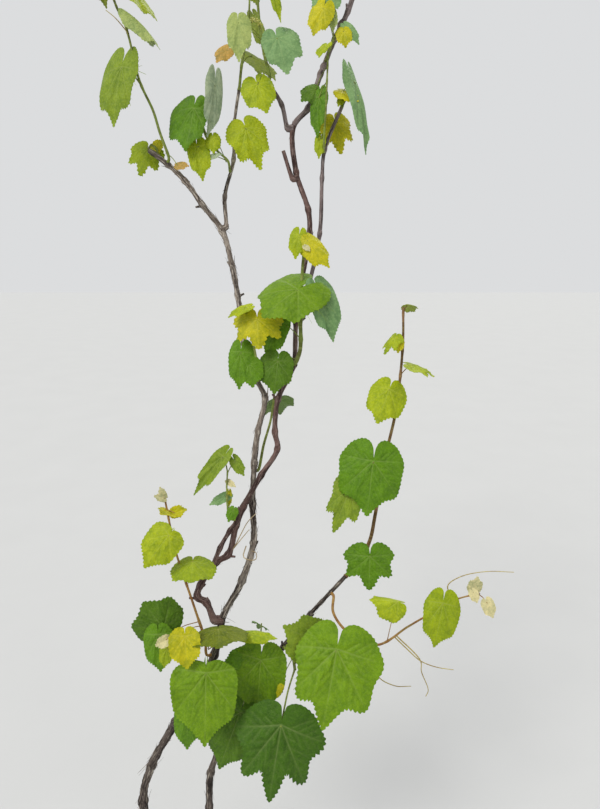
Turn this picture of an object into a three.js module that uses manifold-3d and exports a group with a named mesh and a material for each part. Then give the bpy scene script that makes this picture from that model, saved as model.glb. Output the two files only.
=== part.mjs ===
// A grapevine on its own root: one low trunk with two stems, trained canes, and leafy young shoots.
// Millimetres, +Z up. The origin is the middle of the flat cut under the trunk, at ground level.
// The side that faces -Y is the front. A limb is a tapering tube along a smooth run of places, and
// a mass is one young shoot: a green stem, leaf stalks and blades fused into one solid.
import * as THREE from "three";
import { mergeVertices } from "three/addons/utils/BufferGeometryUtils.js";
import Module from "manifold-3d";

const wasm = await Module();
wasm.setup();

// Sizes of the wood
const GAP = 0.3; // between neighbouring pieces
const LIMB_SIDES = 8;
const LIMB_STEP = 42; // longest stretch between two rings of a limb
const FLARE = 12; // how far the root flare widens the trunk at the ground
const FLARE_HEIGHT = 26; // the height over which the flare dies away
const KNUCKLE = 0.16; // swelling of a limb at each place where it was once jointed

// Sizes of the young growth
const STEM_SIDES = 5;
const STEM_STEP = 55;
const STALK_SIDES = 3;
const STALK_SAG = 0.12; // how far a leaf stalk bows, as a share of its length
const STALK_WIDTH = 0.012; // stalk radius as a share of the blade's length
const STALK_LEAST = 0.9; // least stalk radius
const STALK_CREST = 0.55; // how far along it a stalk bows highest
const STALK_FOOT = 1.3; // radius at the stem, as a share of the radius at the blade
const TENDRIL_RADII = [1.1, 0.8];
const BLADE_THICKNESS = 0.014; // as a share of the blade's length
const THINNEST_BLADE = 0.9;
const BLADE_DROOP = 0.16; // how far a blade's margin falls below its middle, per length squared
const BLADE_RIPPLE = 0.05; // how far the margin waves between the lobes
const TIP_FALL = BLADE_DROOP + BLADE_RIPPLE / 2;
const LIGHT = [0, -0.85, 0.5]; // the way most blades face
const UPWARDS = [0, -0.2, 1];

// The outline of a blade as radii round the place where the stalk joins, for one half of it: the
// angle in degrees from the tip, the radius as a share of the length, and how deep a sinus cuts in.
const OUTLINE = [
  [0, 1.0, 0],
  [13, 0.8, 0],
  [29, 0.74, 1],
  [50, 0.8, 0],
  [74, 0.68, 0.75],
  [98, 0.65, 0],
  [126, 0.58, 0.1],
  [150, 0.46, 0],
  [168, 0.3, 0],
];
const SINUS_FLOOR = 0.06; // the stalk joins this far inside the deep notch at the blade's foot
const BLADE_CROWN = 0.16; // the folds of a blade meet this far beyond the stalk's end
const WIDEST = 1.33; // width of that outline as a share of its length
const SMALL_BLADE = 34; // blades shorter than this keep only every third point of the outline
const LOBE_CUT = { heart: 0.06, broad: 0.14, lobed: 0.32 };

// Colours of the plain materials
const BARK = 0x4b3d35;
const RED_BARK = 0x5b4038;
const LEAF = 0x6c9a26;

// One repeatable stream of numbers from 0 to 1, the same on any machine.
function stream(seed) {
  let state = seed;
  return () => {
    state = (state * 1664525 + 1013904223) % 4294967296;
    return state / 4294967296;
  };
}

const vec = (p) => new THREE.Vector3(p[0], p[1], p[2]);

// A direction from its bearing (0 is +X, 90 is +Y) and its rise above the level, both in degrees.
function heading(bearing, rise) {
  const b = THREE.MathUtils.degToRad(bearing);
  const r = THREE.MathUtils.degToRad(rise);
  return new THREE.Vector3(Math.cos(b) * Math.cos(r), Math.sin(b) * Math.cos(r), Math.sin(r));
}

// A run of limbs: a list of pieces, each with its name, colour, end radii and places. Every piece
// starts at the last place of the one before it, so the run is one smooth curve.
function makeRun(pieces) {
  const places = [];
  const spans = [];
  for (const piece of pieces) {
    const first = Math.max(places.length - 1, 0);
    places.push(...piece.places.map(vec));
    spans.push({ ...piece, first, last: places.length - 1 });
  }
  const curve = new THREE.CatmullRomCurve3(places, false, "centripetal");
  const rings = [];
  for (const span of spans)
    for (let i = span.first; i < span.last; i++) {
      const cuts = Math.max(1, Math.round(places[i].distanceTo(places[i + 1]) / LIMB_STEP));
      for (let k = 0; k < cuts; k++) rings.push(ringAt(curve, places.length, i + k / cuts, span));
      if (i === span.last - 1) rings.push(ringAt(curve, places.length, span.last, span));
    }
  carryFrames(rings);
  return { spans, rings };
}

// The ring of a run at a place number, which may lie between two places. The trunk's first ring is
// level, so that the cut at the ground is flat.
function ringAt(curve, count, place, span) {
  const t = place / (count - 1);
  const share = (place - span.first) / (span.last - span.first);
  const centre = curve.getPoint(t);
  let radius = THREE.MathUtils.lerp(span.radii[0], span.radii[1], share);
  if (span.flare) radius += FLARE * Math.exp(-centre.z / FLARE_HEIGHT);
  else if (Number.isInteger(place) && share > 0 && share < 1) radius *= 1 + KNUCKLE;
  const along = place === 0 && span.flare ? new THREE.Vector3(0, 0, 1) : curve.getTangent(t);
  return { centre, along, radius, span };
}

// Gives every ring a side direction that never twists from one ring to the next.
function carryFrames(rings) {
  let side = new THREE.Vector3(1, 0, 0);
  for (const ring of rings) {
    side = side.clone().addScaledVector(ring.along, -side.dot(ring.along)).normalize();
    ring.side = side;
    ring.over = new THREE.Vector3().crossVectors(ring.along, side);
  }
}

// A closed tube through rings, with flat ends.
function tubeGeometry(rings, sides) {
  const points = [];
  const faces = [];
  for (const ring of rings)
    for (let k = 0; k < sides; k++) {
      const angle = (2 * Math.PI * k) / sides;
      points.push(
        ring.centre
          .clone()
          .addScaledVector(ring.side, ring.radius * Math.cos(angle))
          .addScaledVector(ring.over, ring.radius * Math.sin(angle)),
      );
    }
  for (let j = 0; j < rings.length - 1; j++)
    for (let k = 0; k < sides; k++) {
      const a = j * sides + k;
      const b = j * sides + ((k + 1) % sides);
      faces.push([a, b, b + sides], [a, b + sides, a + sides]);
    }
  const end = (rings.length - 1) * sides;
  for (let k = 1; k < sides - 1; k++) faces.push([0, k + 1, k], [end, end + k, end + k + 1]);
  return geometryOf(points, faces);
}

function geometryOf(points, faces) {
  const geometry = new THREE.BufferGeometry();
  geometry.setAttribute("position", new THREE.Float32BufferAttribute(points.flatMap((p) => p.toArray()), 3));
  geometry.setIndex(faces.flat());
  return geometry;
}

function solidOf(geometry) {
  const merged = mergeVertices(geometry, 1e-4);
  const vertProperties = merged.getAttribute("position").array;
  const triVerts = new Uint32Array(merged.index.array);
  return new wasm.Manifold(new wasm.Mesh({ numProp: 3, vertProperties, triVerts }));
}

function geometryFrom(solid) {
  const mesh = solid.getMesh();
  const geometry = new THREE.BufferGeometry();
  geometry.setAttribute("position", new THREE.BufferAttribute(new Float32Array(mesh.vertProperties), 3));
  geometry.setIndex(new THREE.BufferAttribute(new Uint32Array(mesh.triVerts), 1));
  return geometry;
}

// Where a side limb or a shoot of some radius leaves a run: on the surface nearest a place, pointing
// away square to the limb towards another place, with its flat end GAP clear of the limb.
function seatOn(run, near, towards, radius) {
  const spot = nearestOn(run.rings, vec(near));
  const out = vec(towards).sub(spot.centre);
  out.addScaledVector(spot.along, -out.dot(spot.along)).normalize();
  const heights = [-1, 0, 1].map((k) => {
    const beside = nearestOn(run.rings, spot.centre.clone().addScaledVector(spot.along, k * radius));
    return beside.centre.clone().sub(spot.centre).dot(out) + beside.radius;
  });
  const foot = spot.centre.clone().addScaledVector(out, Math.max(...heights) + GAP);
  return [foot.toArray(), foot.clone().addScaledVector(out, spot.radius).toArray()];
}

function nearestOn(rings, target) {
  let best = { distance: Infinity };
  for (let i = 0; i < rings.length - 1; i++) {
    const a = rings[i];
    const b = rings[i + 1];
    const line = new THREE.Line3(a.centre, b.centre);
    const share = line.distance() > 0 ? line.closestPointToPointParameter(target, true) : 0;
    const centre = line.at(share, new THREE.Vector3());
    const distance = centre.distanceTo(target);
    if (distance < best.distance)
      best = {
        distance,
        centre,
        along: b.centre.clone().sub(a.centre).normalize(),
        radius: THREE.MathUtils.lerp(a.radius, b.radius, share),
      };
  }
  return best;
}

// The meshes of a run, one for each piece, with GAP between the flat ends of two pieces.
function limbMeshes(run) {
  return run.spans.map((span) => {
    const own = run.rings.filter((ring) => ring.span === span);
    const rings = own.map((ring) => ({ ...ring, centre: ring.centre.clone() }));
    if (span.first > 0) rings[0].centre.addScaledVector(rings[0].along, GAP / 2);
    if (span !== run.spans.at(-1)) rings.at(-1).centre.addScaledVector(rings.at(-1).along, -GAP / 2);
    return named(span.name, tubeGeometry(rings, LIMB_SIDES), span.bark ?? BARK);
  });
}

function named(name, geometry, color) {
  const material = new THREE.MeshStandardMaterial({ color, roughness: 0.8, metalness: 0 });
  const mesh = new THREE.Mesh(geometry, material);
  mesh.name = name;
  return mesh;
}

// A leaf has the root of its stalk, the joint of stalk and blade, and the blade's length, width,
// form, fold and own directions. Its tip droops by TIP_FALL, and still ends where it is told to.
function leafOf(root, joint, tip, facing, { width, form, fold }) {
  const reach = tip.clone().sub(joint);
  const outwards = reach.clone().normalize();
  const upright = facing.clone().addScaledVector(outwards, -facing.dot(outwards)).normalize();
  const along = outwards.clone().addScaledVector(upright, TIP_FALL).normalize();
  const face = upright.clone().addScaledVector(outwards, -TIP_FALL).normalize();
  const side = new THREE.Vector3().crossVectors(face, along);
  const length = reach.length() / Math.hypot(1, TIP_FALL);
  return { root, joint, along, face, side, length, width, form, fold };
}

function knownLeaf(spec, stem) {
  const [at, joint, tip, width, form, fold, facing = LIGHT] = spec;
  return leafOf(pointAlong(stem, at), vec(joint), vec(tip), vec(facing), { width, form, fold });
}

function pointAlong(rings, share) {
  const lengths = [0];
  for (let i = 1; i < rings.length; i++)
    lengths.push(lengths[i - 1] + rings[i].centre.distanceTo(rings[i - 1].centre));
  const goal = share * lengths.at(-1);
  let i = 1;
  while (i < rings.length - 1 && lengths[i] < goal) i++;
  const part = (goal - lengths[i - 1]) / (lengths[i] - lengths[i - 1]);
  return rings[i - 1].centre.clone().lerp(rings[i].centre, part);
}

// The margin of a blade, from the tip down one side to the deep notch and up the other.
function marginOf(leaf) {
  const small = leaf.length < SMALL_BLADE;
  const shallow = leaf.form === "heart";
  const half = OUTLINE.filter(([, , sinus], i) => (small ? i % 3 === 0 : !shallow || sinus < 0.5));
  const sides = [...half.map((row) => [...row, 1]), ...half.slice(1).reverse().map((row) => [...row, -1])];
  const notch = [180, SINUS_FLOOR, 0, 1];
  sides.splice(half.length, 0, notch);
  return sides.map(([degrees, radius, sinus, hand]) => {
    const reach = radius * (1 - sinus * LOBE_CUT[leaf.form]);
    const angle = THREE.MathUtils.degToRad(degrees);
    const forward = reach * Math.cos(angle);
    const across = (hand * reach * Math.sin(angle) * leaf.width) / (leaf.length * WIDEST);
    const lift = BLADE_RIPPLE * (sinus - 0.5) * reach - BLADE_DROOP * reach * reach;
    return [forward, across, lift];
  });
}

// A point of a blade from its place along the midrib, across it and above it, as shares of the
// length, with the two halves turned up or down by the fold.
function bladePoint(leaf, forward, across, lift, depth) {
  const fold = THREE.MathUtils.degToRad(leaf.fold);
  const hand = Math.sign(across);
  const out = Math.abs(across) * Math.cos(fold) - (lift - depth) * Math.sin(fold) * Math.abs(hand);
  const up = Math.abs(across) * Math.sin(fold) + (lift - depth) * Math.cos(fold);
  return leaf.joint
    .clone()
    .addScaledVector(leaf.along, forward * leaf.length)
    .addScaledVector(leaf.side, hand * out * leaf.length)
    .addScaledVector(leaf.face, up * leaf.length);
}

// A blade is a thin closed solid: fans of faces round its crown, above and below.
function bladeGeometry(leaf) {
  const thick = Math.max(BLADE_THICKNESS, THINNEST_BLADE / leaf.length);
  const margin = marginOf(leaf);
  const points = [
    bladePoint(leaf, BLADE_CROWN, 0, 0, -thick / 2),
    bladePoint(leaf, BLADE_CROWN, 0, 0, thick / 2),
    ...margin.map(([f, a, l]) => bladePoint(leaf, f, a, l, -thick / 2)),
    ...margin.map(([f, a, l]) => bladePoint(leaf, f, a, l, thick / 2)),
  ];
  const faces = [];
  const n = margin.length;
  for (let i = 0; i < n; i++) {
    const a = 2 + i;
    const b = 2 + ((i + 1) % n);
    faces.push([0, a, b], [1, b + n, a + n], [a, a + n, b + n], [a, b + n, b]);
  }
  return geometryOf(points, faces);
}

// A stalk bows down from the stem and ends inside the blade.
function stalkGeometry(leaf) {
  const radius = Math.max(STALK_LEAST, leaf.length * STALK_WIDTH);
  const inside = leaf.joint.clone().addScaledVector(leaf.along, leaf.length * SINUS_FLOOR);
  const middle = leaf.root.clone().lerp(leaf.joint, STALK_CREST);
  middle.z += leaf.root.distanceTo(leaf.joint) * STALK_SAG;
  return tubeGeometry(ringsThrough([leaf.root, middle, inside], radius * STALK_FOOT, radius), STALK_SIDES);
}

// A tendril sets out from the nearest place of the stem.
function tendrilGeometry(places, stem) {
  const route = places.map(vec);
  route.unshift(nearestOn(stem, route[0]).centre);
  return tubeGeometry(ringsThrough(route, TENDRIL_RADII[0], TENDRIL_RADII[1]), STALK_SIDES);
}

function ringsThrough(places, first, last) {
  const curve = new THREE.CatmullRomCurve3(places, false, "centripetal");
  const rings = places.map((centre, i) => {
    const t = i / (places.length - 1);
    return { centre, along: curve.getTangent(t), radius: THREE.MathUtils.lerp(first, last, t) };
  });
  carryFrames(rings);
  return rings;
}

function stemRings(places, radii) {
  const curve = new THREE.CatmullRomCurve3(places.map(vec), false, "centripetal");
  const count = Math.max(3, Math.round(curve.getLength() / STEM_STEP));
  const rings = [];
  for (let k = 0; k <= count; k++) {
    const t = k / count;
    const radius = THREE.MathUtils.lerp(radii[0], radii[1], t);
    rings.push({ centre: curve.getPointAt(t), along: curve.getTangentAt(t), radius });
  }
  carryFrames(rings);
  return rings;
}

// What the rule may choose between: shares of the blade's length, then angles in degrees.
const GROWN = {
  size: [0.9, 1.1],
  stalk: [0.45, 0.7],
  width: [0.9, 1.1],
  spread: [-30, 30],
  rise: [24, 52],
  turn: [-25, 25],
  drop: [24, 72],
  roll: [-40, 40],
  fold: [-10, 18],
};
const FACE_RISE = 40; // how far above the level such a blade faces
const LOBED_SHARE = 0.3;
const LAST_LEAF = 0.98; // the place of the last leaf along the stem

// Leaves that follow only the rule: set by turns left and right along the stem, smaller towards
// its tip, with stalks that rise and blades that hang.
function grownLeaves(grow, stem, random) {
  const { count, from, sizes, side } = grow;
  const pick = (name) => THREE.MathUtils.lerp(...GROWN[name], random());
  const leaves = [];
  for (let k = 0; k < count; k++) {
    const share = count > 1 ? k / (count - 1) : 0;
    const size = THREE.MathUtils.lerp(...sizes, share) * pick("size");
    const bearing = side + 180 * (k % 2) + pick("spread");
    const root = pointAlong(stem, THREE.MathUtils.lerp(from, LAST_LEAF, share));
    const joint = root.clone().addScaledVector(heading(bearing, pick("rise")), size * pick("stalk"));
    const tip = joint.clone().addScaledVector(heading(bearing + pick("turn"), -pick("drop")), size);
    const facing = heading(bearing + pick("roll"), FACE_RISE);
    const form = random() < LOBED_SHARE ? "lobed" : "heart";
    leaves.push(leafOf(root, joint, tip, facing, { width: size * pick("width"), form, fold: pick("fold") }));
  }
  return leaves;
}

const FEELER_SHARES = [0.35, 0.7, 1];

// Points spread over a blade, for keeping leaves clear of each other and of the limbs.
function feelers(leaf) {
  const margin = marginOf(leaf);
  const spots = [];
  for (const share of FEELER_SHARES)
    for (const [f, a, l] of margin) spots.push(bladePoint(leaf, f * share, a * share, l * share * share, 0));
  return spots;
}

const LEAF_CLEARANCE = 16;
const LIMB_CLEARANCE = 9;

function clearOf(leaf, kept, runs) {
  const spots = feelers(leaf);
  const crowded = kept.some((others) => others.some((q) => spots.some((p) => p.distanceTo(q) < LEAF_CLEARANCE)));
  if (crowded) return false;
  return !runs.some((run) => spots.some((p) => touches(run.rings, p)));
}

function touches(rings, point) {
  const spot = nearestOn(rings, point);
  return spot.distance < spot.radius + LIMB_CLEARANCE;
}

// The left run: the trunk, the left stem in two pieces that part at its wide bend, and the grey cane
// that goes on from it to its cut end.
const leftRun = makeRun([
  {
    name: "trunk",
    flare: true,
    radii: [16, 12],
    places: [[0, 0, 0], [-1, 0, 22], [-3, 0, 55], [-10, 0, 100], [-24, -2, 145]],
  },
  { name: "left_stem_lower", radii: [9, 8.5], places: [[-55, -5, 240], [-74, -5, 345]] },
  {
    name: "left_stem_upper",
    radii: [8.5, 7.5],
    places: [[-52, -2, 432], [0, 6, 530], [42, 15, 600], [80, 26, 672], [99, 40, 749]],
  },
  {
    name: "grey_cane_lower",
    radii: [6.5, 5.5],
    places: [[137, 54, 821], [158, 78, 888], [156, 100, 962], [159, 126, 1036], [166, 142, 1098], [180, 160, 1164]],
  },
  {
    name: "grey_cane_upper",
    radii: [5.5, 6.2],
    places: [[164, 172, 1196], [138, 207, 1263], [120, 270, 1356], [105, 305, 1420], [82, 345, 1488]],
  },
  {
    name: "grey_cane_left_branch",
    radii: [6, 5.4],
    places: [[40, 354, 1542], [5, 363, 1590], [-32, 372, 1624], [-73, 380, 1654]],
  },
]);

// The right run: the second stem, from the trunk's side, and the cane that leans right from it.
const rightRun = makeRun([
  {
    name: "right_stem",
    radii: [8, 6.5],
    places: [
      ...seatOn(leftRun, [-5, 0, 75], [60, 0, 95], 8),
      [36, -1, 150],
      [58, -1, 240],
      [61, 0, 325],
      [66, 8, 405],
      [98, 28, 478],
      [136, 50, 550],
    ],
  },
  {
    name: "right_cane",
    radii: [5.8, 4.6],
    places: [[170, 75, 586], [214, 110, 628], [272, 155, 677], [353, 205, 741]],
  },
]);

// The red run: the cane that bows left from the head, doubles back and climbs to the top right.
const redRun = makeRun([
  {
    name: "red_cane_foot",
    bark: RED_BARK,
    radii: [6.6, 6],
    places: [
      ...seatOn(leftRun, [97, 39, 741], [60, 32, 770], 6.6),
      [68, 33, 784],
      [52, 30, 799],
      [58, 34, 822],
      [88, 50, 862],
    ],
  },
  {
    name: "red_cane_lower",
    bark: RED_BARK,
    radii: [6, 5.3],
    places: [[110, 58, 874], [126, 70, 930], [140, 80, 964], [174, 100, 1022], [205, 130, 1066]],
  },
  {
    name: "red_cane_middle",
    bark: RED_BARK,
    radii: [5.2, 5],
    places: [[200, 144, 1098], [206, 162, 1160], [236, 186, 1222], [242, 215, 1307]],
  },
  {
    name: "red_cane_upper",
    bark: RED_BARK,
    radii: [5, 5.6],
    places: [[254, 250, 1389], [270, 290, 1482], [267, 300, 1528], [242, 315, 1603], [237, 340, 1695]],
  },
  {
    name: "top_right_branch",
    radii: [5.8, 5],
    places: [[267, 345, 1730], [292, 353, 1795], [321, 358, 1862], [346, 362, 1911], [364, 366, 1962]],
  },
]);

// Side limbs, each seated on its run.
const frontLoop = makeRun([
  {
    name: "front_loop",
    bark: RED_BARK,
    radii: [4.6, 4],
    places: [
      ...seatOn(redRun, [82, 47, 854], [92, 20, 880], 4.6),
      [98, 34, 900],
      [116, 46, 930],
      [130, 50, 950],
      [136, 52, 976],
    ],
  },
]);
const greyRight = makeRun([
  {
    name: "grey_cane_right_branch",
    radii: [4.8, 3.6],
    places: [
      ...seatOn(leftRun, [80, 346, 1490], [98, 362, 1512], 4.8),
      [87, 372, 1560],
      [104, 412, 1640],
      [104, 437, 1710],
      [115, 462, 1792],
    ],
  },
]);
const slimCane = makeRun([
  {
    name: "slim_cane",
    radii: [4.6, 3.8],
    places: [
      ...seatOn(redRun, [243, 219, 1316], [275, 222, 1325], 4.6),
      [268, 238, 1378],
      [290, 270, 1480],
      [295, 300, 1590],
      [300, 314, 1645],
      [335, 335, 1730],
    ],
  },
]);
const topLeft = makeRun([
  {
    name: "top_left_branch",
    bark: RED_BARK,
    radii: [4.8, 4.2],
    places: [
      ...seatOn(redRun, [237, 339, 1690], [205, 348, 1708], 4.8),
      [212, 350, 1738],
      [186, 357, 1776],
      [165, 362, 1797],
    ],
  },
]);
const cutStub = makeRun([
  {
    name: "cut_stub",
    radii: [4.4, 4],
    places: [...seatOn(redRun, [244, 313, 1590], [222, 306, 1612], 4.4), [216, 303, 1642]],
  },
]);
const RUNS = [leftRun, rightRun, redRun, frontLoop, greyRight, slimCane, topLeft, cutStub];

// The masses. Each has the run and the place it grows from, its stem's end radii and places, the
// leaves whose place is known, any long tendrils, and the leaves that the rule adds. A known leaf has
// its place along the stem from 0 to 1, where its stalk meets the blade, the blade's tip and width,
// its form, the degrees by which its halves fold up, and the way it faces if not towards the light.
const SHOOTS = [
  {
    name: "left_shoot",
    on: leftRun,
    near: [80, 26, 672],
    radii: [2.6, 1.6],
    stem: [[67, 4, 722], [53, -6, 795], [38, -14, 865], [26, -18, 920], [18, -20, 978], [12, -22, 1032]],
    leaves: [
      [0.06, [98, -25, 766], [106, -75, 760], 97, "heart", -8, UPWARDS],
      [0.05, [150, -15, 748], [208, -15, 738], 30, "heart", 0, UPWARDS],
      [0.23, [41, -50, 769], [46, -65, 711], 56, "heart", 15],
      [0.26, [6, -50, 761], [-13, -55, 752], 22, "heart", 30],
      [0.5, [57, -25, 906], [61, -70, 887], 83, "heart", -20, UPWARDS],
      [0.72, [20, -38, 964], [-23, -55, 909], 74, "heart", -10],
      [0.88, [24, -30, 1000], [9, -50, 1006], 46, "heart", 20, UPWARDS],
      [0.98, [12, -25, 1028], [-4, -30, 1034], 16, "heart", 30],
    ],
  },
  {
    name: "low_left_leaves",
    on: leftRun,
    near: [60, 20, 635],
    radii: [2.6, 2],
    stem: [[44, 0, 642], [24, -18, 652]],
    leaves: [
      [0.9, [78, -60, 699], [76, -85, 565], 128, "heart", -6],
      [0.6, [-12, 5, 747], [-50, 15, 799], 92, "heart", -8],
      [0.45, [-20, -5, 741], [-15, -20, 669], 57, "heart", 8],
      [0.7, [37, -45, 596], [34, -55, 522], 49, "heart", 0],
    ],
  },
  {
    name: "low_middle_leaves",
    on: rightRun,
    near: [132, 48, 545],
    radii: [2.6, 2],
    stem: [[136, 20, 568], [128, 0, 590]],
    leaves: [
      [0.9, [174, 4, 677], [165, -10, 564], 97, "heart", 8],
      [0.5, [149, 10, 684], [100, 5, 669], 39, "heart", 0],
      [0.6, [133, -15, 573], [89, -30, 450], 110, "heart", -5],
    ],
  },
  {
    name: "low_right_leaves",
    on: rightRun,
    near: [214, 110, 628],
    radii: [3, 2.4],
    stem: [[226, 72, 644], [236, 44, 650], [240, 20, 642]],
    leaves: [
      [0.85, [319, -25, 723], [291, -75, 585], 188, "broad", 6],
      [0.5, [281, 12, 711], [218, -5, 759], 89, "heart", 0],
      [0.98, [215, -70, 594], [192, -105, 452], 186, "lobed", -4],
    ],
  },
  {
    name: "small_front_shoot",
    on: frontLoop,
    near: [131, 51, 951],
    radii: [1.8, 1.2],
    stem: [[116, 38, 972], [113, 46, 1015], [115, 50, 1048]],
    leaves: [
      [0.25, [126, 30, 981], [117, 22, 960], 20, "heart", 0],
      [0.27, [111, 50, 1000], [80, 40, 986], 19, "heart", 20],
      [1, [108, 50, 1079], [54, 30, 1009], 41, "heart", 30],
      [0.97, [129, 55, 1068], [146, 50, 1040], 22, "heart", 20],
    ],
  },
  {
    name: "middle_left_shoot",
    on: leftRun,
    near: [165, 171, 1194],
    radii: [2.7, 1.7],
    stem: [[168, 150, 1212], [163, 150, 1256], [153, 154, 1298], [144, 156, 1336]],
    leaves: [
      [0.1, [136, 145, 1258], [132, 132, 1186], 50, "heart", 8],
      [0.16, [152, 140, 1235], [159, 130, 1190], 46, "heart", 5],
      [0.62, [169, 140, 1322], [172, 125, 1265], 95, "lobed", -8],
      [0.97, [150, 140, 1344], [115, 130, 1325], 26, "heart", 15, [-0.3, -0.5, 0.8]],
    ],
  },
  {
    name: "middle_right_shoot",
    on: redRun,
    near: [237, 188, 1226],
    radii: [4.3, 2.6],
    stem: [[250, 162, 1258], [251, 160, 1322], [253, 160, 1384], [257, 162, 1437], [262, 164, 1458]],
    leaves: [
      [0.05, [207, 145, 1240], [200, 130, 1178], 64, "heart", 0],
      [0.25, [209, 172, 1310], [183, 162, 1241], 47, "heart", 25],
      [0.46, [284, 150, 1375], [313, 135, 1277], 49, "heart", 30, [0.35, -0.8, 0.4]],
      [0.62, [246, 135, 1376], [180, 105, 1329], 123, "heart", -12, [0, -0.6, 0.8]],
      [0.92, [248, 155, 1473], [241, 145, 1432], 30, "heart", 10],
      [0.97, [263, 150, 1466], [305, 135, 1416], 44, "heart", -8],
    ],
  },
  {
    name: "right_shoot",
    end: rightRun,
    radii: [4.4, 2.2],
    stem: [
      [384, 192, 792], [402, 186, 840], [411, 184, 900], [430, 182, 1042],
      [445, 178, 1132], [454, 182, 1264], [452, 184, 1340],
    ],
    leaves: [
      [0.15, [398, 150, 820], [397, 138, 747], 106, "lobed", -4],
      [0.33, [353, 150, 975], [318, 130, 884], 74, "lobed", 8],
      [0.46, [398, 145, 1035], [385, 128, 923], 125, "heart", -4],
      [0.7, [427, 160, 1181], [401, 130, 1118], 75, "heart", -15],
    ],
    grow: { count: 3, from: 0.78, sizes: [52, 30], side: 20 },
  },
  {
    name: "far_right_shoot",
    on: rightRun,
    near: [318, 184, 712],
    radii: [3.1, 1.5],
    stem: [
      [322, 150, 686], [350, 118, 660], [412, 100, 640], [475, 98, 685],
      [507, 98, 707], [575, 100, 749], [622, 104, 760],
    ],
    leaves: [
      [0.45, [450, 85, 752], [390, 80, 760], 69, "heart", -25, UPWARDS],
      [0.77, [542, 85, 750], [525, 68, 656], 74, "heart", 5],
      [0.95, [607, 95, 773], [611, 92, 807], 29, "heart", 15],
      [0.96, [603, 90, 772], [612, 85, 750], 20, "heart", 15],
      [0.99, [634, 90, 747], [647, 85, 715], 27, "heart", 15],
    ],
    tendrils: [
      [[552, 94, 784], [576, 90, 807], [626, 84, 822], [678, 78, 824]],
      [[473, 94, 637], [504, 88, 610], [535, 82, 600], [572, 78, 596]],
    ],
  },
  {
    name: "upper_left_shoot",
    on: leftRun,
    near: [-34, 372, 1626],
    radii: [3, 1.6],
    stem: [
      [-42, 352, 1685], [-52, 346, 1725], [-75, 342, 1779], [-94, 338, 1872],
      [-112, 336, 1915], [-128, 334, 1980], [-138, 332, 2040],
    ],
    leaves: [
      [0.35, [-106, 328, 1802], [-123, 305, 1685], 84, "broad", 10, [-0.3, -0.8, 0.35]],
      [0.58, [-75, 325, 1889], [-23, 305, 1824], 23, "heart", -25, [0.6, -0.15, 0.7]],
      [0.69, [-141, 330, 1957], [-125, 320, 1901], 31, "heart", 20],
      [0.04, [-9, 350, 1621], [17, 345, 1619], 19, "heart", 0],
    ],
    grow: { count: 4, from: 0.72, sizes: [66, 26], side: 10 },
  },
  {
    name: "cut_end_leaves",
    on: leftRun,
    near: [-62, 378, 1648],
    radii: [2, 1.6],
    stem: [[-62, 396, 1662], [-74, 404, 1670]],
    leaves: [[0.9, [-83, 405, 1659], [-99, 392, 1604], 78, "lobed", -4]],
  },
  {
    name: "grey_cane_top_shoot",
    end: greyRight,
    radii: [3.2, 1.6],
    stem: [[122, 472, 1850], [134, 480, 1910], [140, 486, 1975], [136, 490, 2040]],
    leaves: [[0.28, [92, 450, 1867], [69, 440, 1839], 35, "heart", 10]],
    grow: { count: 6, from: 0.2, sizes: [84, 30], side: 60 },
  },
  {
    name: "grey_cane_middle_shoot",
    on: greyRight,
    near: [98, 398, 1612],
    radii: [2.6, 1.8],
    stem: [[96, 372, 1632], [74, 364, 1652], [54, 362, 1676], [44, 362, 1704]],
    leaves: [
      [0.8, [32, 350, 1731], [16, 335, 1641], 95, "heart", -12, [-0.2, -0.9, 0.3]],
      [1, [75, 362, 1779], [54, 350, 1674], 37, "heart", 35, [0.7, -0.6, 0.2]],
      [0.5, [35, 350, 1658], [46, 338, 1588], 46, "heart", 8],
      [0.2, [68, 352, 1676], [70, 345, 1642], 31, "heart", 0],
    ],
  },
  {
    name: "grey_cane_side_leaves",
    on: greyRight,
    near: [104, 424, 1675],
    radii: [2.2, 1.8],
    stem: [[114, 400, 1688], [124, 390, 1700]],
    leaves: [[0.9, [135, 385, 1699], [167, 362, 1615], 102, "lobed", 0]],
  },
  {
    name: "top_left_shoot",
    on: topLeft,
    near: [182, 358, 1780],
    radii: [3.4, 1.6],
    stem: [
      [178, 350, 1830], [170, 350, 1878], [166, 350, 1925],
      [160, 352, 1985], [148, 350, 2045], [140, 350, 2100],
    ],
    leaves: [
      [0.05, [164, 330, 1771], [184, 315, 1713], 64, "heart", 0],
      [0.26, [205, 325, 1852], [226, 308, 1784], 91, "lobed", -4],
      [0.24, [128, 330, 1882], [130, 315, 1805], 47, "heart", 15],
      [0.45, [196, 330, 1944], [213, 320, 1875], 21, "heart", 30],
    ],
    grow: { count: 5, from: 0.55, sizes: [74, 28], side: 160 },
  },
  {
    name: "top_right_side_leaves",
    on: redRun,
    near: [302, 355, 1818],
    radii: [2.2, 1.8],
    stem: [[310, 334, 1836], [318, 326, 1856]],
    leaves: [
      [0.9, [295, 318, 1902], [275, 308, 1849], 46, "heart", 8],
      [0.95, [309, 328, 1900], [315, 322, 1860], 23, "heart", 15],
      [0.9, [309, 335, 1935], [273, 328, 1904], 59, "heart", -8],
      [0.8, [336, 325, 1865], [340, 318, 1833], 31, "heart", 5],
    ],
  },
  {
    name: "top_right_shoot",
    end: redRun,
    radii: [4.2, 1.8],
    stem: [[378, 366, 2005], [386, 366, 2060], [400, 364, 2120], [408, 362, 2160]],
    leaves: [],
    grow: { count: 6, from: 0.2, sizes: [86, 30], side: 30 },
  },
  {
    name: "slim_cane_tip_shoot",
    end: slimCane,
    radii: [3, 1.8],
    stem: [[345, 334, 1752], [354, 330, 1775]],
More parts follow.
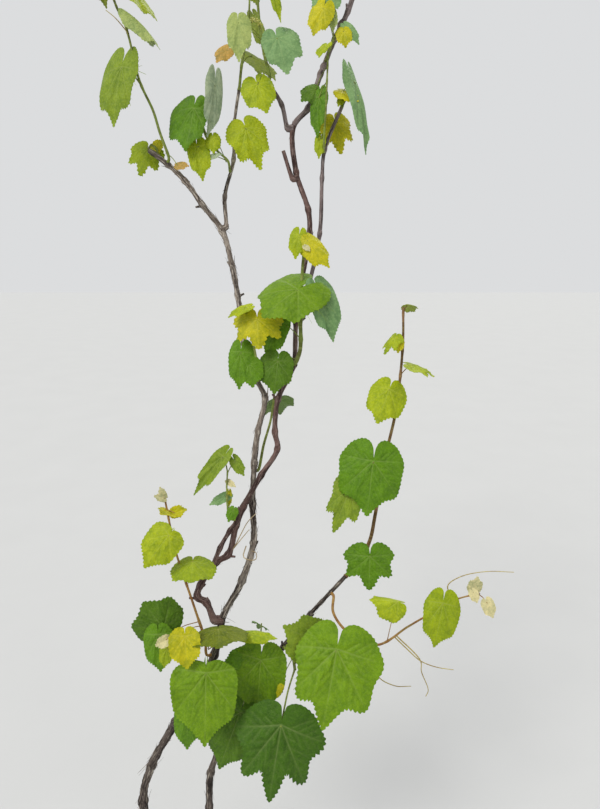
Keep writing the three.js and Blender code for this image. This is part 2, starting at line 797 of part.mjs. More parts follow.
    leaves: [
      [0.25, [323, 356, 1706], [336, 344, 1640], 71, "lobed", -6],
      [0.8, [336, 318, 1756], [367, 305, 1735], 40, "heart", 0, [0, -0.5, 0.8]],
      [1, [358, 322, 1773], [380, 302, 1632], 40, "heart", 35, [0.75, -0.55, 0.25]],
    ],
    grow: { count: 1, from: 0.5, sizes: [60, 60], side: 20 },
  },
  {
    name: "slim_cane_side_shoot",
    on: slimCane,
    near: [299, 312, 1640],
    radii: [2.2, 1.6],
    stem: [[298, 292, 1668], [301, 292, 1714], [303, 296, 1774], [305, 298, 1822]],
    leaves: [
      [0.7, [288, 315, 1744], [286, 302, 1664], 40, "heart", 25, [-0.5, -0.8, 0.3]],
      [0.85, [282, 325, 1759], [252, 318, 1737], 44, "heart", 0],
      [0.2, [292, 305, 1666], [288, 300, 1626], 22, "heart", 15],
    ],
    grow: { count: 2, from: 0.8, sizes: [50, 30], side: 80 },
  },
  {
    name: "back_shoot",
    on: leftRun,
    near: [158, 122, 1024],
    radii: [3, 1.5],
    stem: [[176, 158, 1064], [190, 205, 1110], [196, 240, 1170], [190, 265, 1236]],
    leaves: [],
    grow: { count: 7, from: 0.25, sizes: [92, 30], side: 60 },
  },
  {
    name: "low_back_shoot",
    on: rightRun,
    near: [112, 35, 508],
    radii: [2.8, 1.5],
    stem: [[122, 74, 520], [146, 120, 552], [160, 156, 596], [164, 176, 640]],
    leaves: [],
    grow: { count: 6, from: 0.3, sizes: [96, 34], side: 70 },
  },
];

const SEED = 907; // of the leaves that the rule adds

// Builds a mass: its stem, then every leaf whose space is free, fused into one solid.
function shootMesh(shoot, index, kept) {
  const random = stream(SEED + index);
  const foot = shoot.end
    ? endOf(shoot.end)
    : seatOn(shoot.on, shoot.near, shoot.stem[0], shoot.radii[0]);
  const stem = stemRings([...foot, ...shoot.stem], shoot.radii);
  const leaves = shoot.leaves.map((spec) => knownLeaf(spec, stem));
  const mine = leaves.map(feelers);
  for (const leaf of shoot.grow ? grownLeaves(shoot.grow, stem, random) : []) {
    if (!clearOf(leaf, [...kept, ...mine], RUNS)) continue;
    leaves.push(leaf);
    mine.push(feelers(leaf));
  }
  kept.push(...mine);
  let solid = solidOf(tubeGeometry(stem, STEM_SIDES));
  for (const leaf of leaves)
    solid = solid.add(solidOf(stalkGeometry(leaf))).add(solidOf(bladeGeometry(leaf)));
  for (const places of shoot.tendrils ?? []) solid = solid.add(solidOf(tendrilGeometry(places, stem)));
  return named(shoot.name, geometryFrom(solid), LEAF);
}

// The end of a run carries on into a shoot, GAP clear of the flat end.
function endOf(run) {
  const last = run.rings.at(-1);
  const foot = last.centre.clone().addScaledVector(last.along, GAP);
  return [foot.toArray(), foot.clone().addScaledVector(last.along, 2 * last.radius).toArray()];
}

const grapevine = new THREE.Group();
for (const run of RUNS) grapevine.add(...limbMeshes(run));
const kept = [];
SHOOTS.forEach((shoot, index) => grapevine.add(shootMesh(shoot, index, kept)));

export default grapevine;
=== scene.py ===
# %% [markdown]
# # A grapevine on its own root
# This lesson dresses a packed vine: bare stems, trained canes and leafy young shoots. The packed
# model is a fixed frame. Its solids say where every limb, leaf stalk and blade is, so the lesson
# works out the same places by the same rule, in millimetres, and then makes finer meshes on them.
# It starts by loading the frame and moving each solid's placement into its mesh.

# %% Load the frame
import math
from itertools import product

import bpy
import numpy as np
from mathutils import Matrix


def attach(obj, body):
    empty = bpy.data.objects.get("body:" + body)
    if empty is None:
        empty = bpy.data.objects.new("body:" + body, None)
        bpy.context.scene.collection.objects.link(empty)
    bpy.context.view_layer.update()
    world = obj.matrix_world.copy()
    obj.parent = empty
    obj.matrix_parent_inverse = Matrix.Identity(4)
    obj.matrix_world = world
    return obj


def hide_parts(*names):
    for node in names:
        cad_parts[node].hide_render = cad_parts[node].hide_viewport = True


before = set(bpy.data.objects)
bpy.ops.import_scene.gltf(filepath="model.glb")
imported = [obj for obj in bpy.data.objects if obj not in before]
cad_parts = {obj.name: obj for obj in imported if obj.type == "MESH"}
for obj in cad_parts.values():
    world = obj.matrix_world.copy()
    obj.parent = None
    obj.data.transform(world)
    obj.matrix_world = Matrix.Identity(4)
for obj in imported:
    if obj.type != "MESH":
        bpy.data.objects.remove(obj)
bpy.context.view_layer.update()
MM = 0.001

# %% [markdown]
# ## Smooth curves
# A cane grows from bud to bud and bends a little at each. A curve through a few named places says
# the same with few numbers. The centripetal Catmull-Rom curve goes through every place and makes no
# loops where two places lie close together, so all the wood and all the green stems use it.

# %% A curve through places
CURVE_STEPS = 200


def unit(v):
    return v / np.linalg.norm(v)


def square_to(v, along):
    """The direction of v once its share along the other is taken out."""
    return unit(v - v.dot(along) * along)


def lengths_along(points):
    return np.concatenate([[0], np.cumsum(np.linalg.norm(np.diff(points, axis=0), axis=1))])


def lerp(a, b, share):
    return a + (b - a) * share


class Curve:
    """A smooth line through places, with t from 0 to 1 counted by places."""

    def __init__(self, places):
        self.places = np.array(places, float)
        self.count = len(places)
        self.shares = np.linspace(0, 1, CURVE_STEPS + 1)
        self.lengths = lengths_along(self.points(i / CURVE_STEPS for i in range(CURVE_STEPS + 1)))

    def point(self, t):
        spot = (self.count - 1) * min(max(t, 0), 1)
        i = min(int(spot), self.count - 2)
        w, q = spot - i, self.places
        a = q[i - 1] if i > 0 else 2 * q[0] - q[1]
        b, c = q[i], q[i + 1]
        d = q[i + 2] if i + 2 < self.count else 2 * q[-1] - q[-2]
        ab, bc, cd = (max(np.linalg.norm(n - m) ** 0.5, 1e-4) for m, n in ((a, b), (b, c), (c, d)))
        leave = ((b - a) / ab - (c - a) / (ab + bc) + (c - b) / bc) * bc
        arrive = ((c - b) / bc - (d - b) / (bc + cd) + (d - c) / cd) * bc
        bent = (-3 * b + 3 * c - 2 * leave - arrive) * w**2 + (2 * b - 2 * c + leave + arrive) * w**3
        return b + leave * w + bent

    def points(self, marks):
        return np.array([self.point(t) for t in marks])

    def tangent(self, t):
        return unit(self.point(t + 1e-4) - self.point(t - 1e-4))

    def length_to(self, t):
        return float(np.interp(t, self.shares, self.lengths))

    def t_at(self, length):
        return float(np.interp(length, self.lengths, self.shares))


print("curve check, a straight line of 30:", round(Curve([[0, 0, 0], [10, 0, 0], [30, 0, 0]]).lengths[-1], 3))

# %% [markdown]
# ## The wood's places
# A run is one length of wood from its foot to its end, cut into named limbs. Each limb has its end
# radii and the places it passes. A side limb starts on the surface of the limb that bears it, so its
# foot is worked out by finding the nearest place there and stepping out by the two radii.

# %% Runs of wood
GAP = 0.3
LIMB_STEP = 42
FLARE, FLARE_HEIGHT = 12, 26
KNUCKLE = 0.16


def ring(centre, along, radius):
    return {"centre": centre, "along": along, "radius": radius}


def radius_at(limb, place, centre):
    share = (place - limb["first"]) / (limb["last"] - limb["first"])
    radius = lerp(*limb["radii"], share)
    if limb["flare"]:
        return radius + FLARE * math.exp(-centre[2] / FLARE_HEIGHT)
    return radius


def grow_run(*limbs):
    places, spans = [], []
    for name, radii, own, *more in limbs:
        first = max(len(places) - 1, 0)
        places += [np.array(p, float) for p in own]
        spans.append({"name": name, "radii": radii, "first": first, "last": len(places) - 1,
                      "flare": bool(more)})
    curve, rings, last = Curve(places), [], len(places) - 1
    for limb in spans:
        for i in range(limb["first"], limb["last"]):
            cuts = max(1, math.floor(np.linalg.norm(places[i + 1] - places[i]) / LIMB_STEP + 0.5))
            for k in range(cuts + (i == limb["last"] - 1)):
                place = i + k / cuts
                centre = curve.point(place / last)
                radius = radius_at(limb, place, centre)
                if limb["first"] < place < limb["last"] and place == int(place) and not limb["flare"]:
                    radius *= 1 + KNUCKLE
                rings.append(ring(centre, curve.tangent(place / last), radius))
    return {"curve": curve, "places": places, "limbs": spans, "rings": rings}


def nearest_on(rings, target):
    """Distance, centre, direction and radius of the nearest place on a row of rings."""
    centres = np.array([r["centre"] for r in rings])
    radii = np.array([r["radius"] for r in rings])
    step = np.diff(centres, axis=0)
    size = (step**2).sum(1)
    share = np.clip(((target - centres[:-1]) * step).sum(1) / np.maximum(size, 1e-12), 0, 1)
    feet = centres[:-1] + step * share[:, None]
    gaps = np.linalg.norm(feet - target, axis=1)
    i = int(gaps.argmin())
    return gaps[i], feet[i], unit(step[i]), lerp(radii[i], radii[i + 1], share[i])


def seat_on(run, near, towards, radius):
    """The two first places of a side limb or shoot that stands on a run."""
    _, centre, along, thick = nearest_on(run["rings"], np.array(near, float))
    out = square_to(np.array(towards, float) - centre, along)
    heights = []
    for k in (-1, 0, 1):
        _, beside, _, there = nearest_on(run["rings"], centre + along * k * radius)
        heights.append((beside - centre).dot(out) + there)
    foot = centre + out * (max(heights) + GAP)
    return [foot, foot + out * thick]


def carried_on(run):
    """The two first places of a shoot that goes on from the end of a run."""
    last = run["rings"][-1]
    foot = last["centre"] + last["along"] * GAP
    return [foot, foot + last["along"] * 2 * last["radius"]]


# %% Places of every limb
left_run = grow_run(
    ("trunk", (16, 12), [[0, 0, 0], [-1, 0, 22], [-3, 0, 55], [-10, 0, 100], [-24, -2, 145]], "flare"),
    ("left_stem_lower", (9, 8.5), [[-55, -5, 240], [-74, -5, 345]]),
    ("left_stem_upper", (8.5, 7.5), [[-52, -2, 432], [0, 6, 530], [42, 15, 600], [80, 26, 672],
                                     [99, 40, 749]]),
    ("grey_cane_lower", (6.5, 5.5), [[137, 54, 821], [158, 78, 888], [156, 100, 962], [159, 126, 1036],
                                     [166, 142, 1098], [180, 160, 1164]]),
    ("grey_cane_upper", (5.5, 6.2), [[164, 172, 1196], [138, 207, 1263], [120, 270, 1356], [105, 305, 1420],
                                     [82, 345, 1488]]),
    ("grey_cane_left_branch", (6, 5.4), [[40, 354, 1542], [5, 363, 1590], [-32, 372, 1624],
                                         [-73, 380, 1654]]),
)
right_run = grow_run(
    ("right_stem", (8, 6.5), [*seat_on(left_run, [-5, 0, 75], [60, 0, 95], 8), [36, -1, 150], [58, -1, 240],
                              [61, 0, 325], [66, 8, 405], [98, 28, 478], [136, 50, 550]]),
    ("right_cane", (5.8, 4.6), [[170, 75, 586], [214, 110, 628], [272, 155, 677], [353, 205, 741]]),
)
red_run = grow_run(
    ("red_cane_foot", (6.6, 6), [*seat_on(left_run, [97, 39, 741], [60, 32, 770], 6.6), [68, 33, 784],
                                 [52, 30, 799], [58, 34, 822], [88, 50, 862]]),
    ("red_cane_lower", (6, 5.3), [[110, 58, 874], [126, 70, 930], [140, 80, 964], [174, 100, 1022],
                                  [205, 130, 1066]]),
    ("red_cane_middle", (5.2, 5), [[200, 144, 1098], [206, 162, 1160], [236, 186, 1222], [242, 215, 1307]]),
    ("red_cane_upper", (5, 5.6), [[254, 250, 1389], [270, 290, 1482], [267, 300, 1528], [242, 315, 1603],
                                  [237, 340, 1695]]),
    ("top_right_branch", (5.8, 5), [[267, 345, 1730], [292, 353, 1795], [321, 358, 1862], [346, 362, 1911],
                                    [364, 366, 1962]]),
)
front_loop = grow_run(
    ("front_loop", (4.6, 4), [*seat_on(red_run, [82, 47, 854], [92, 20, 880], 4.6), [98, 34, 900],
                              [116, 46, 930], [130, 50, 950], [136, 52, 976]]),
)
grey_right = grow_run(
    ("grey_cane_right_branch", (4.8, 3.6), [*seat_on(left_run, [80, 346, 1490], [98, 362, 1512], 4.8),
                                            [87, 372, 1560], [104, 412, 1640], [104, 437, 1710],
                                            [115, 462, 1792]]),
)
slim_cane = grow_run(
    ("slim_cane", (4.6, 3.8), [*seat_on(red_run, [243, 219, 1316], [275, 222, 1325], 4.6), [268, 238, 1378],
                               [290, 270, 1480], [295, 300, 1590], [300, 314, 1645], [335, 335, 1730]]),
)
top_left = grow_run(
    ("top_left_branch", (4.8, 4.2), [*seat_on(red_run, [237, 339, 1690], [205, 348, 1708], 4.8),
                                     [212, 350, 1738], [186, 357, 1776], [165, 362, 1797]]),
)
cut_stub = grow_run(
    ("cut_stub", (4.4, 4), [*seat_on(red_run, [244, 313, 1590], [222, 306, 1612], 4.4), [216, 303, 1642]]),
)
RUNS = [left_run, right_run, red_run, front_loop, grey_right, slim_cane, top_left, cut_stub]
print("wood:", round(sum(run["curve"].lengths[-1] for run in RUNS) / 1000, 2), "m in", len(RUNS), "runs")

# %% [markdown]
# ## The young shoots
# A shoot is a green stem with leaf stalks and blades. Where the plant shows a leaf, its row says
# where on the stem it stands, where its stalk meets the blade, where the blade's tip is, how wide it
# is, its form, how far its halves fold, its tone and, if it doesn't face the light, the way it faces.
# Rows under "tiny" are leaves too small for the solids. Leaves that only fill out the crown follow a
# rule, with the seed and order of the solids, so that they come out in the same places.

# %% Shoots and their leaves
LIGHT = [0, -0.85, 0.5]
UPWARDS = [0, -0.2, 1]
# What "grow" says: how many leaves the rule tries, where on the stem they start, their sizes at its foot
# and at its tip, and which way the first one points.
SHOOTS = [
    {"name": "left_shoot", "on": left_run, "near": [80, 26, 672], "radii": (2.6, 1.6), "wood": "orange",
     "stem": [[67, 4, 722], [53, -6, 795], [38, -14, 865], [26, -18, 920], [18, -20, 978], [12, -22, 1032]],
     "leaves": [
         (0.06, [98, -25, 766], [106, -75, 760], 97, "heart", -8, "olive", UPWARDS),
         (0.05, [150, -15, 748], [208, -15, 738], 30, "heart", 0, "young", UPWARDS),
         (0.23, [41, -50, 769], [46, -65, 711], 56, "heart", 15, "yellow"),
         (0.26, [6, -50, 761], [-13, -55, 752], 22, "heart", 30, "cream"),
         (0.5, [57, -25, 906], [61, -70, 887], 83, "heart", -20, "fresh", UPWARDS),
         (0.72, [20, -38, 964], [-23, -55, 909], 74, "heart", -10, "young"),
         (0.88, [24, -30, 1000], [9, -50, 1006], 46, "heart", 20, "yellow", UPWARDS),
         (0.98, [12, -25, 1028], [-4, -30, 1034], 16, "heart", 30, "cream")],
     "tiny": [(0.19, [3, -35, 733], [-2, -45, 697], 26, "fresh"),
              (0.92, [28, -25, 1000], [51, -25, 1007], 21, "yellow"),
              (0.99, [12, -25, 1034], [6, -25, 1049], 12, "cream")]},
    {"name": "low_left_leaves", "on": left_run, "near": [60, 20, 635], "radii": (2.6, 2),
     "stem": [[44, 0, 642], [24, -18, 652]],
     "leaves": [
         (0.9, [78, -60, 699], [76, -85, 565], 128, "heart", -6, "light"),
         (0.6, [-12, 5, 747], [-50, 15, 799], 92, "heart", -8, "dark"),
         (0.45, [-20, -5, 741], [-15, -20, 669], 57, "heart", 8, "green"),
         (0.7, [37, -45, 596], [34, -55, 522], 49, "heart", 0, "green")]},
    {"name": "low_middle_leaves", "on": right_run, "near": [132, 48, 545], "radii": (2.6, 2),
     "stem": [[136, 20, 568], [128, 0, 590]],
     "leaves": [
         (0.9, [174, 4, 677], [165, -10, 564], 97, "heart", 8, "light"),
         (0.5, [149, 10, 684], [100, 5, 669], 39, "heart", 0, "green"),
         (0.6, [133, -15, 573], [89, -30, 450], 110, "heart", -5, "dark")]},
    {"name": "low_right_leaves", "on": right_run, "near": [214, 110, 628], "radii": (3, 2.4),
     "stem": [[226, 72, 644], [236, 44, 650], [240, 20, 642]],
     "leaves": [
         (0.85, [319, -25, 723], [291, -75, 585], 188, "broad", 6, "light"),
         (0.5, [281, 12, 711], [218, -5, 759], 89, "heart", 0, "soft"),
         (0.98, [215, -70, 594], [192, -105, 452], 186, "lobed", -4, "deep")],
     "tiny": [(0.7, [213, -5, 625], [199, -8, 595], 14, "yellow")]},
    {"name": "small_front_shoot", "on": front_loop, "near": [131, 51, 951], "radii": (1.8, 1.2),
     "stem": [[116, 38, 972], [113, 46, 1015], [115, 50, 1048]],
     "leaves": [
         (0.25, [126, 30, 981], [117, 22, 960], 20, "heart", 0, "green"),
         (0.27, [111, 50, 1000], [80, 40, 986], 19, "heart", 20, "pale"),
         (1, [108, 50, 1079], [54, 30, 1009], 41, "heart", 30, "soft"),
         (0.97, [129, 55, 1068], [146, 50, 1040], 22, "heart", 20, "soft")],
     "dried": [[[104, 58, 865], [120, 58, 886], [137, 52, 921], [151, 46, 949], [167, 44, 967]],
               [[120, 58, 886], [136, 54, 908], [153, 50, 931]],
               [[144, 74, 884], [139, 64, 866], [152, 58, 862], [164, 54, 866], [165, 56, 878],
                [156, 58, 882]]],
     "tiny": [(0.42, [116, 52, 1003], [116, 50, 978], 11, "yellow"),
              (0.75, [115, 52, 1029], [130, 48, 1019], 11, "cream")]},
    {"name": "middle_left_shoot", "on": left_run, "near": [165, 171, 1194], "radii": (2.7, 1.7),
     "stem": [[168, 150, 1212], [163, 150, 1256], [153, 154, 1298], [144, 156, 1336]],
     "leaves": [
         (0.1, [136, 145, 1258], [132, 132, 1186], 50, "heart", 8, "green"),
         (0.16, [152, 140, 1235], [159, 130, 1190], 46, "heart", 5, "green"),
         (0.62, [169, 140, 1322], [172, 125, 1265], 95, "lobed", -8, "yellow"),
         (0.97, [150, 140, 1344], [115, 130, 1325], 26, "heart", 15, "young", [-0.3, -0.5, 0.8])]},
    {"name": "middle_right_shoot", "on": red_run, "near": [237, 188, 1226], "radii": (4.3, 2.6),
     "stem": [[250, 162, 1258], [251, 160, 1322], [253, 160, 1384], [257, 162, 1437], [262, 164, 1458]],
     "leaves": [
         (0.05, [207, 145, 1240], [200, 130, 1178], 64, "heart", 0, "dark"),
         (0.25, [209, 172, 1310], [183, 162, 1241], 47, "heart", 25, "green"),
         (0.46, [284, 150, 1375], [313, 135, 1277], 49, "heart", 30, "pale", [0.35, -0.8, 0.4]),
         (0.62, [246, 135, 1376], [180, 105, 1329], 123, "heart", -12, "light", [0, -0.6, 0.8]),
         (0.92, [248, 155, 1473], [241, 145, 1432], 30, "heart", 10, "young"),
         (0.97, [263, 150, 1466], [305, 135, 1416], 44, "heart", -8, "yellow")],
     "tiny": [(0.99, [259, 145, 1455], [268, 140, 1446], 11, "cream"),
              (0.4, [277, 160, 1374], [277, 155, 1337], 19, "young")]},
    {"name": "right_shoot", "end": right_run, "radii": (4.4, 2.2), "wood": "red",
     "stem": [[384, 192, 792], [402, 186, 840], [411, 184, 900], [430, 182, 1042], [445, 178, 1132],
              [454, 182, 1264], [452, 184, 1340]],
     "leaves": [
         (0.15, [398, 150, 820], [397, 138, 747], 106, "lobed", -4, "green"),
         (0.33, [353, 150, 975], [318, 130, 884], 74, "lobed", 8, "soft"),
         (0.46, [398, 145, 1035], [385, 128, 923], 125, "heart", -4, "green"),
         (0.7, [427, 160, 1181], [401, 130, 1118], 75, "heart", -15, "young")],
     "tiny": [(0.86, [445, 165, 1276], [441, 160, 1253], 20, "yellow")],
     "grow": (3, 0.78, (52, 30), 20), "tone": "young"},
    {"name": "far_right_shoot", "on": right_run, "near": [318, 184, 712], "radii": (3.1, 1.5),
     "wood": "orange",
     "stem": [[322, 150, 686], [350, 118, 660], [412, 100, 640], [475, 98, 685], [507, 98, 707],
              [575, 100, 749], [622, 104, 760]],
     "leaves": [
         (0.45, [450, 85, 752], [390, 80, 760], 69, "heart", -25, "young", UPWARDS),
         (0.77, [542, 85, 750], [525, 68, 656], 74, "heart", 5, "fresh"),
         (0.95, [607, 95, 773], [611, 92, 807], 29, "heart", 15, "cream"),
         (0.96, [603, 90, 772], [612, 85, 750], 20, "heart", 15, "cream"),
         (0.99, [634, 90, 747], [647, 85, 715], 27, "heart", 15, "cream")],
     "tendrils": [[[552, 94, 784], [576, 90, 807], [626, 84, 822], [678, 78, 824]],
                  [[473, 94, 637], [504, 88, 610], [535, 82, 600], [572, 78, 596]],
                  [[504, 88, 610], [506, 84, 588], [522, 80, 544], [517, 78, 530]],
                  [[416, 90, 571], [451, 80, 555], [484, 74, 559]]]},
    {"name": "upper_left_shoot", "on": left_run, "near": [-34, 372, 1626], "radii": (3, 1.6),
     "stem": [[-42, 352, 1685], [-52, 346, 1725], [-75, 342, 1779], [-94, 338, 1872], [-112, 336, 1915],
              [-128, 334, 1980], [-138, 332, 2040]],
     "leaves": [
         (0.35, [-106, 328, 1802], [-123, 305, 1685], 84, "broad", 10, "soft", [-0.3, -0.8, 0.35]),
         (0.58, [-75, 325, 1889], [-23, 305, 1824], 23, "heart", -25, "washed", [0.6, -0.15, 0.7]),
         (0.69, [-141, 330, 1957], [-125, 320, 1901], 31, "heart", 20, "olive"),
         (0.04, [-9, 350, 1621], [17, 345, 1619], 19, "heart", 0, "amber")],
     "tendrils": [[[-90, 325, 1863], [-110, 322, 1886], [-127, 320, 1899]]],
     "grow": (4, 0.72, (66, 26), 10), "tone": "young"},
    {"name": "cut_end_leaves", "on": left_run, "near": [-62, 378, 1648], "radii": (2, 1.6),
     "stem": [[-62, 396, 1662], [-74, 404, 1670]],
     "leaves": [(0.9, [-83, 405, 1659], [-99, 392, 1604], 78, "lobed", -4, "fresh")],
     "tiny": [(0.5, [-64, 398, 1658], [-44, 398, 1678], 28, "yellow")]},
    {"name": "grey_cane_top_shoot", "end": grey_right, "radii": (3.2, 1.6),
     "stem": [[122, 472, 1850], [134, 480, 1910], [140, 486, 1975], [136, 490, 2040]],
     "leaves": [(0.28, [92, 450, 1867], [69, 440, 1839], 35, "heart", 10, "amber")],
     "grow": (6, 0.2, (84, 30), 60), "tone": "young"},
    {"name": "grey_cane_middle_shoot", "on": grey_right, "near": [98, 398, 1612], "radii": (2.6, 1.8),
     "stem": [[96, 372, 1632], [74, 364, 1652], [54, 362, 1676], [44, 362, 1704]],
     "leaves": [
         (0.8, [32, 350, 1731], [16, 335, 1641], 95, "heart", -12, "green", [-0.2, -0.9, 0.3]),
         (1, [75, 362, 1779], [54, 350, 1674], 37, "heart", 35, "silver", [0.7, -0.6, 0.2]),
         (0.5, [35, 350, 1658], [46, 338, 1588], 46, "heart", 8, "young"),
         (0.2, [68, 352, 1676], [70, 345, 1642], 31, "heart", 0, "young")],
     "tiny": [(0.25, [57, 350, 1635], [89, 345, 1642], 13, "silver")]},
    {"name": "grey_cane_side_leaves", "on": grey_right, "near": [104, 424, 1675], "radii": (2.2, 1.8),
     "stem": [[114, 400, 1688], [124, 390, 1700]],
     "leaves": [(0.9, [135, 385, 1699], [167, 362, 1615], 102, "lobed", 0, "young")]},
    {"name": "top_left_shoot", "on": top_left, "near": [182, 358, 1780], "radii": (3.4, 1.6),
     "stem": [[178, 350, 1830], [170, 350, 1878], [166, 350, 1925], [160, 352, 1985], [148, 350, 2045],
              [140, 350, 2100]],
     "leaves": [
         (0.05, [164, 330, 1771], [184, 315, 1713], 64, "heart", 0, "young"),
         (0.26, [205, 325, 1852], [226, 308, 1784], 91, "broad", -4, "pale"),
         (0.24, [128, 330, 1882], [130, 315, 1805], 47, "heart", 15, "washed"),
         (0.45, [196, 330, 1944], [213, 320, 1875], 21, "heart", 30, "young")],
     "tiny": [(0.22, [145, 332, 1868], [147, 328, 1832], 14, "washed")],
     "flowers": ([[170, 350, 1868], [172, 345, 1880], [163, 341, 1888], [150, 340, 1889]], 26),
     "grow": (5, 0.55, (74, 28), 160), "tone": "young"},
    {"name": "top_right_side_leaves", "on": red_run, "near": [302, 355, 1818], "radii": (2.2, 1.8),
     "stem": [[310, 334, 1836], [318, 326, 1856]],
     "leaves": [
         (0.9, [295, 318, 1902], [275, 308, 1849], 46, "heart", 8, "yellow"),
         (0.95, [309, 328, 1900], [315, 322, 1860], 23, "heart", 15, "washed"),
         (0.9, [309, 335, 1935], [273, 328, 1904], 59, "heart", -8, "pale"),
         (0.8, [336, 325, 1865], [340, 318, 1833], 31, "heart", 5, "yellow")],
     "tiny": [(0.7, [341, 332, 1875], [367, 325, 1840], 26, "pale")]},
    {"name": "top_right_shoot", "end": red_run, "radii": (4.2, 1.8),
     "stem": [[378, 366, 2005], [386, 366, 2060], [400, 364, 2120], [408, 362, 2160]],
     "leaves": [], "grow": (6, 0.2, (86, 30), 30), "tone": "light"},
    {"name": "slim_cane_tip_shoot", "end": slim_cane, "radii": (3, 1.8),
     "stem": [[345, 334, 1752], [354, 330, 1775]],
     "leaves": [
         (0.25, [323, 356, 1706], [336, 344, 1640], 71, "lobed", -6, "yellow"),
         (0.8, [336, 318, 1756], [367, 305, 1735], 40, "heart", 0, "yellow", [0, -0.5, 0.8]),
         (1, [358, 322, 1773], [380, 302, 1632], 40, "heart", 35, "pale", [0.75, -0.55, 0.25])],
     "tiny": [(0.6, [336, 320, 1745], [326, 316, 1726], 16, "young")],
     "grow": (1, 0.5, (60, 60), 20), "tone": "young"},
    {"name": "slim_cane_side_shoot", "on": slim_cane, "near": [299, 312, 1640], "radii": (2.2, 1.6),
     "stem": [[298, 292, 1668], [301, 292, 1714], [303, 296, 1774], [305, 298, 1822]],
     "leaves": [
         (0.7, [288, 315, 1744], [286, 302, 1664], 40, "heart", 25, "green", [-0.5, -0.8, 0.3]),
         (0.85, [282, 325, 1759], [252, 318, 1737], 44, "heart", 0, "dark"),
         (0.2, [292, 305, 1666], [288, 300, 1626], 22, "heart", 15, "young")],
     "grow": (2, 0.8, (50, 30), 80), "tone": "young"},
    {"name": "back_shoot", "on": left_run, "near": [158, 122, 1024], "radii": (3, 1.5),
     "stem": [[176, 158, 1064], [190, 205, 1110], [196, 240, 1170], [190, 265, 1236]],
     "leaves": [], "grow": (7, 0.25, (92, 30), 60), "tone": "green"},
    {"name": "low_back_shoot", "on": right_run, "near": [112, 35, 508], "radii": (2.8, 1.5),
     "stem": [[122, 74, 520], [146, 120, 552], [160, 156, 596], [164, 176, 640]],
     "leaves": [], "grow": (6, 0.3, (96, 34), 70), "tone": "green"},
]
print(len(SHOOTS), "shoots,", sum(len(s["leaves"]) + len(s.get("tiny", ())) for s in SHOOTS), "leaves seen")

# %% Where a blade lies
DROOP, RIPPLE = 0.16, 0.05
TIP_FALL = DROOP + RIPPLE / 2
NOTCH = 0.06
WIDEST = 1.33
# The solids' outline: degrees from the tip, radius, and how deep a sinus cuts in.
OUTLINE = [(0, 1.0, 0), (13, 0.8, 0), (29, 0.74, 1), (50, 0.8, 0), (74, 0.68, 0.75), (98, 0.65, 0),
           (126, 0.58, 0.1), (150, 0.46, 0), (168, 0.3, 0)]
CUT = {"heart": 0.06, "broad": 0.14, "lobed": 0.32}
SMALL_BLADE = 34
TINY_FOLD = 18


def leaf_of(root, joint, tip, facing, width, form, fold, tone):
    """A leaf droops by TIP_FALL, and its tip still ends where it is told to."""
    reach = tip - joint
    outwards = unit(reach)
    upright = square_to(facing, outwards)
    along = unit(outwards + upright * TIP_FALL)
    face = unit(upright - outwards * TIP_FALL)
    return {"root": root, "joint": joint, "along": along, "face": face, "side": np.cross(face, along),
            "length": np.linalg.norm(reach) / math.hypot(1, TIP_FALL), "width": width, "form": form,
            "fold": math.radians(fold), "tone": tone}


def blade_point(leaf, forward, across, lift):
    """Points of a blade from shares of its length: along the midrib, across it and above it.

    The solids swing the lift aside with each half. A fine blade has a soft crease and keeps its
    midrib whole.
    """
    fold, hand, size = leaf["fold"], np.sign(across), leaf["length"]
    soft = leaf.get("crease", 0)
    flat = np.sqrt(across**2 + soft**2) - soft
    aside = np.abs(across) - flat if soft else -lift * math.sin(fold) * np.abs(hand)
    out = hand * (flat * math.cos(fold) + aside)
    up = flat * math.sin(fold) + lift * math.cos(fold)
    shares = ((forward, "along"), (out, "side"), (up, "face"))
    return leaf["joint"] + size * sum(share[:, None] * leaf[way] for share, way in shares)


def heading(bearing, rise):
    b, r = math.radians(bearing), math.radians(rise)
    return np.array([math.cos(b) * math.cos(r), math.sin(b) * math.cos(r), math.sin(r)])


def point_along(rings, share):
    centres = np.array([r["centre"] for r in rings])
    lengths = lengths_along(centres)
    return np.array([np.interp(share * lengths[-1], lengths, centres[:, i]) for i in range(3)])


def seen_leaf(stem, at, joint, tip, width, form, fold, tone, facing=LIGHT):
    """The leaf that a row of the list tells."""
    places = (np.array(place, float) for place in (joint, tip, facing))
    return leaf_of(point_along(stem, at), *places, width, form, fold, tone)


# %% Leaves that only the rule places
SEED = 907
STEM_STEP = 55
LAST_LEAF, FACE_RISE, LOBED_SHARE = 0.98, 40, 0.3
LEAF_CLEARANCE, LIMB_CLEARANCE = 16, 9
FEELER_SHARES = (0.35, 0.7, 1)
GROWN = {"size": (0.9, 1.1), "stalk": (0.45, 0.7), "width": (0.9, 1.1), "spread": (-30, 30),
         "rise": (24, 52), "turn": (-25, 25), "drop": (24, 72), "roll": (-40, 40), "fold": (-10, 18)}


def stream(seed):
    """Numbers from 0 to 1 that come out alike on any machine."""
    while True:
        seed = (seed * 1664525 + 1013904223) % 4294967296
        yield seed / 4294967296


def stem_rings(curve, radii):
    count = max(3, math.floor(curve.lengths[-1] / STEM_STEP + 0.5))
    shares = [k / count for k in range(count + 1)]
    return [ring(curve.point(curve.t_at(s * curve.lengths[-1])), None, lerp(*radii, s)) for s in shares]


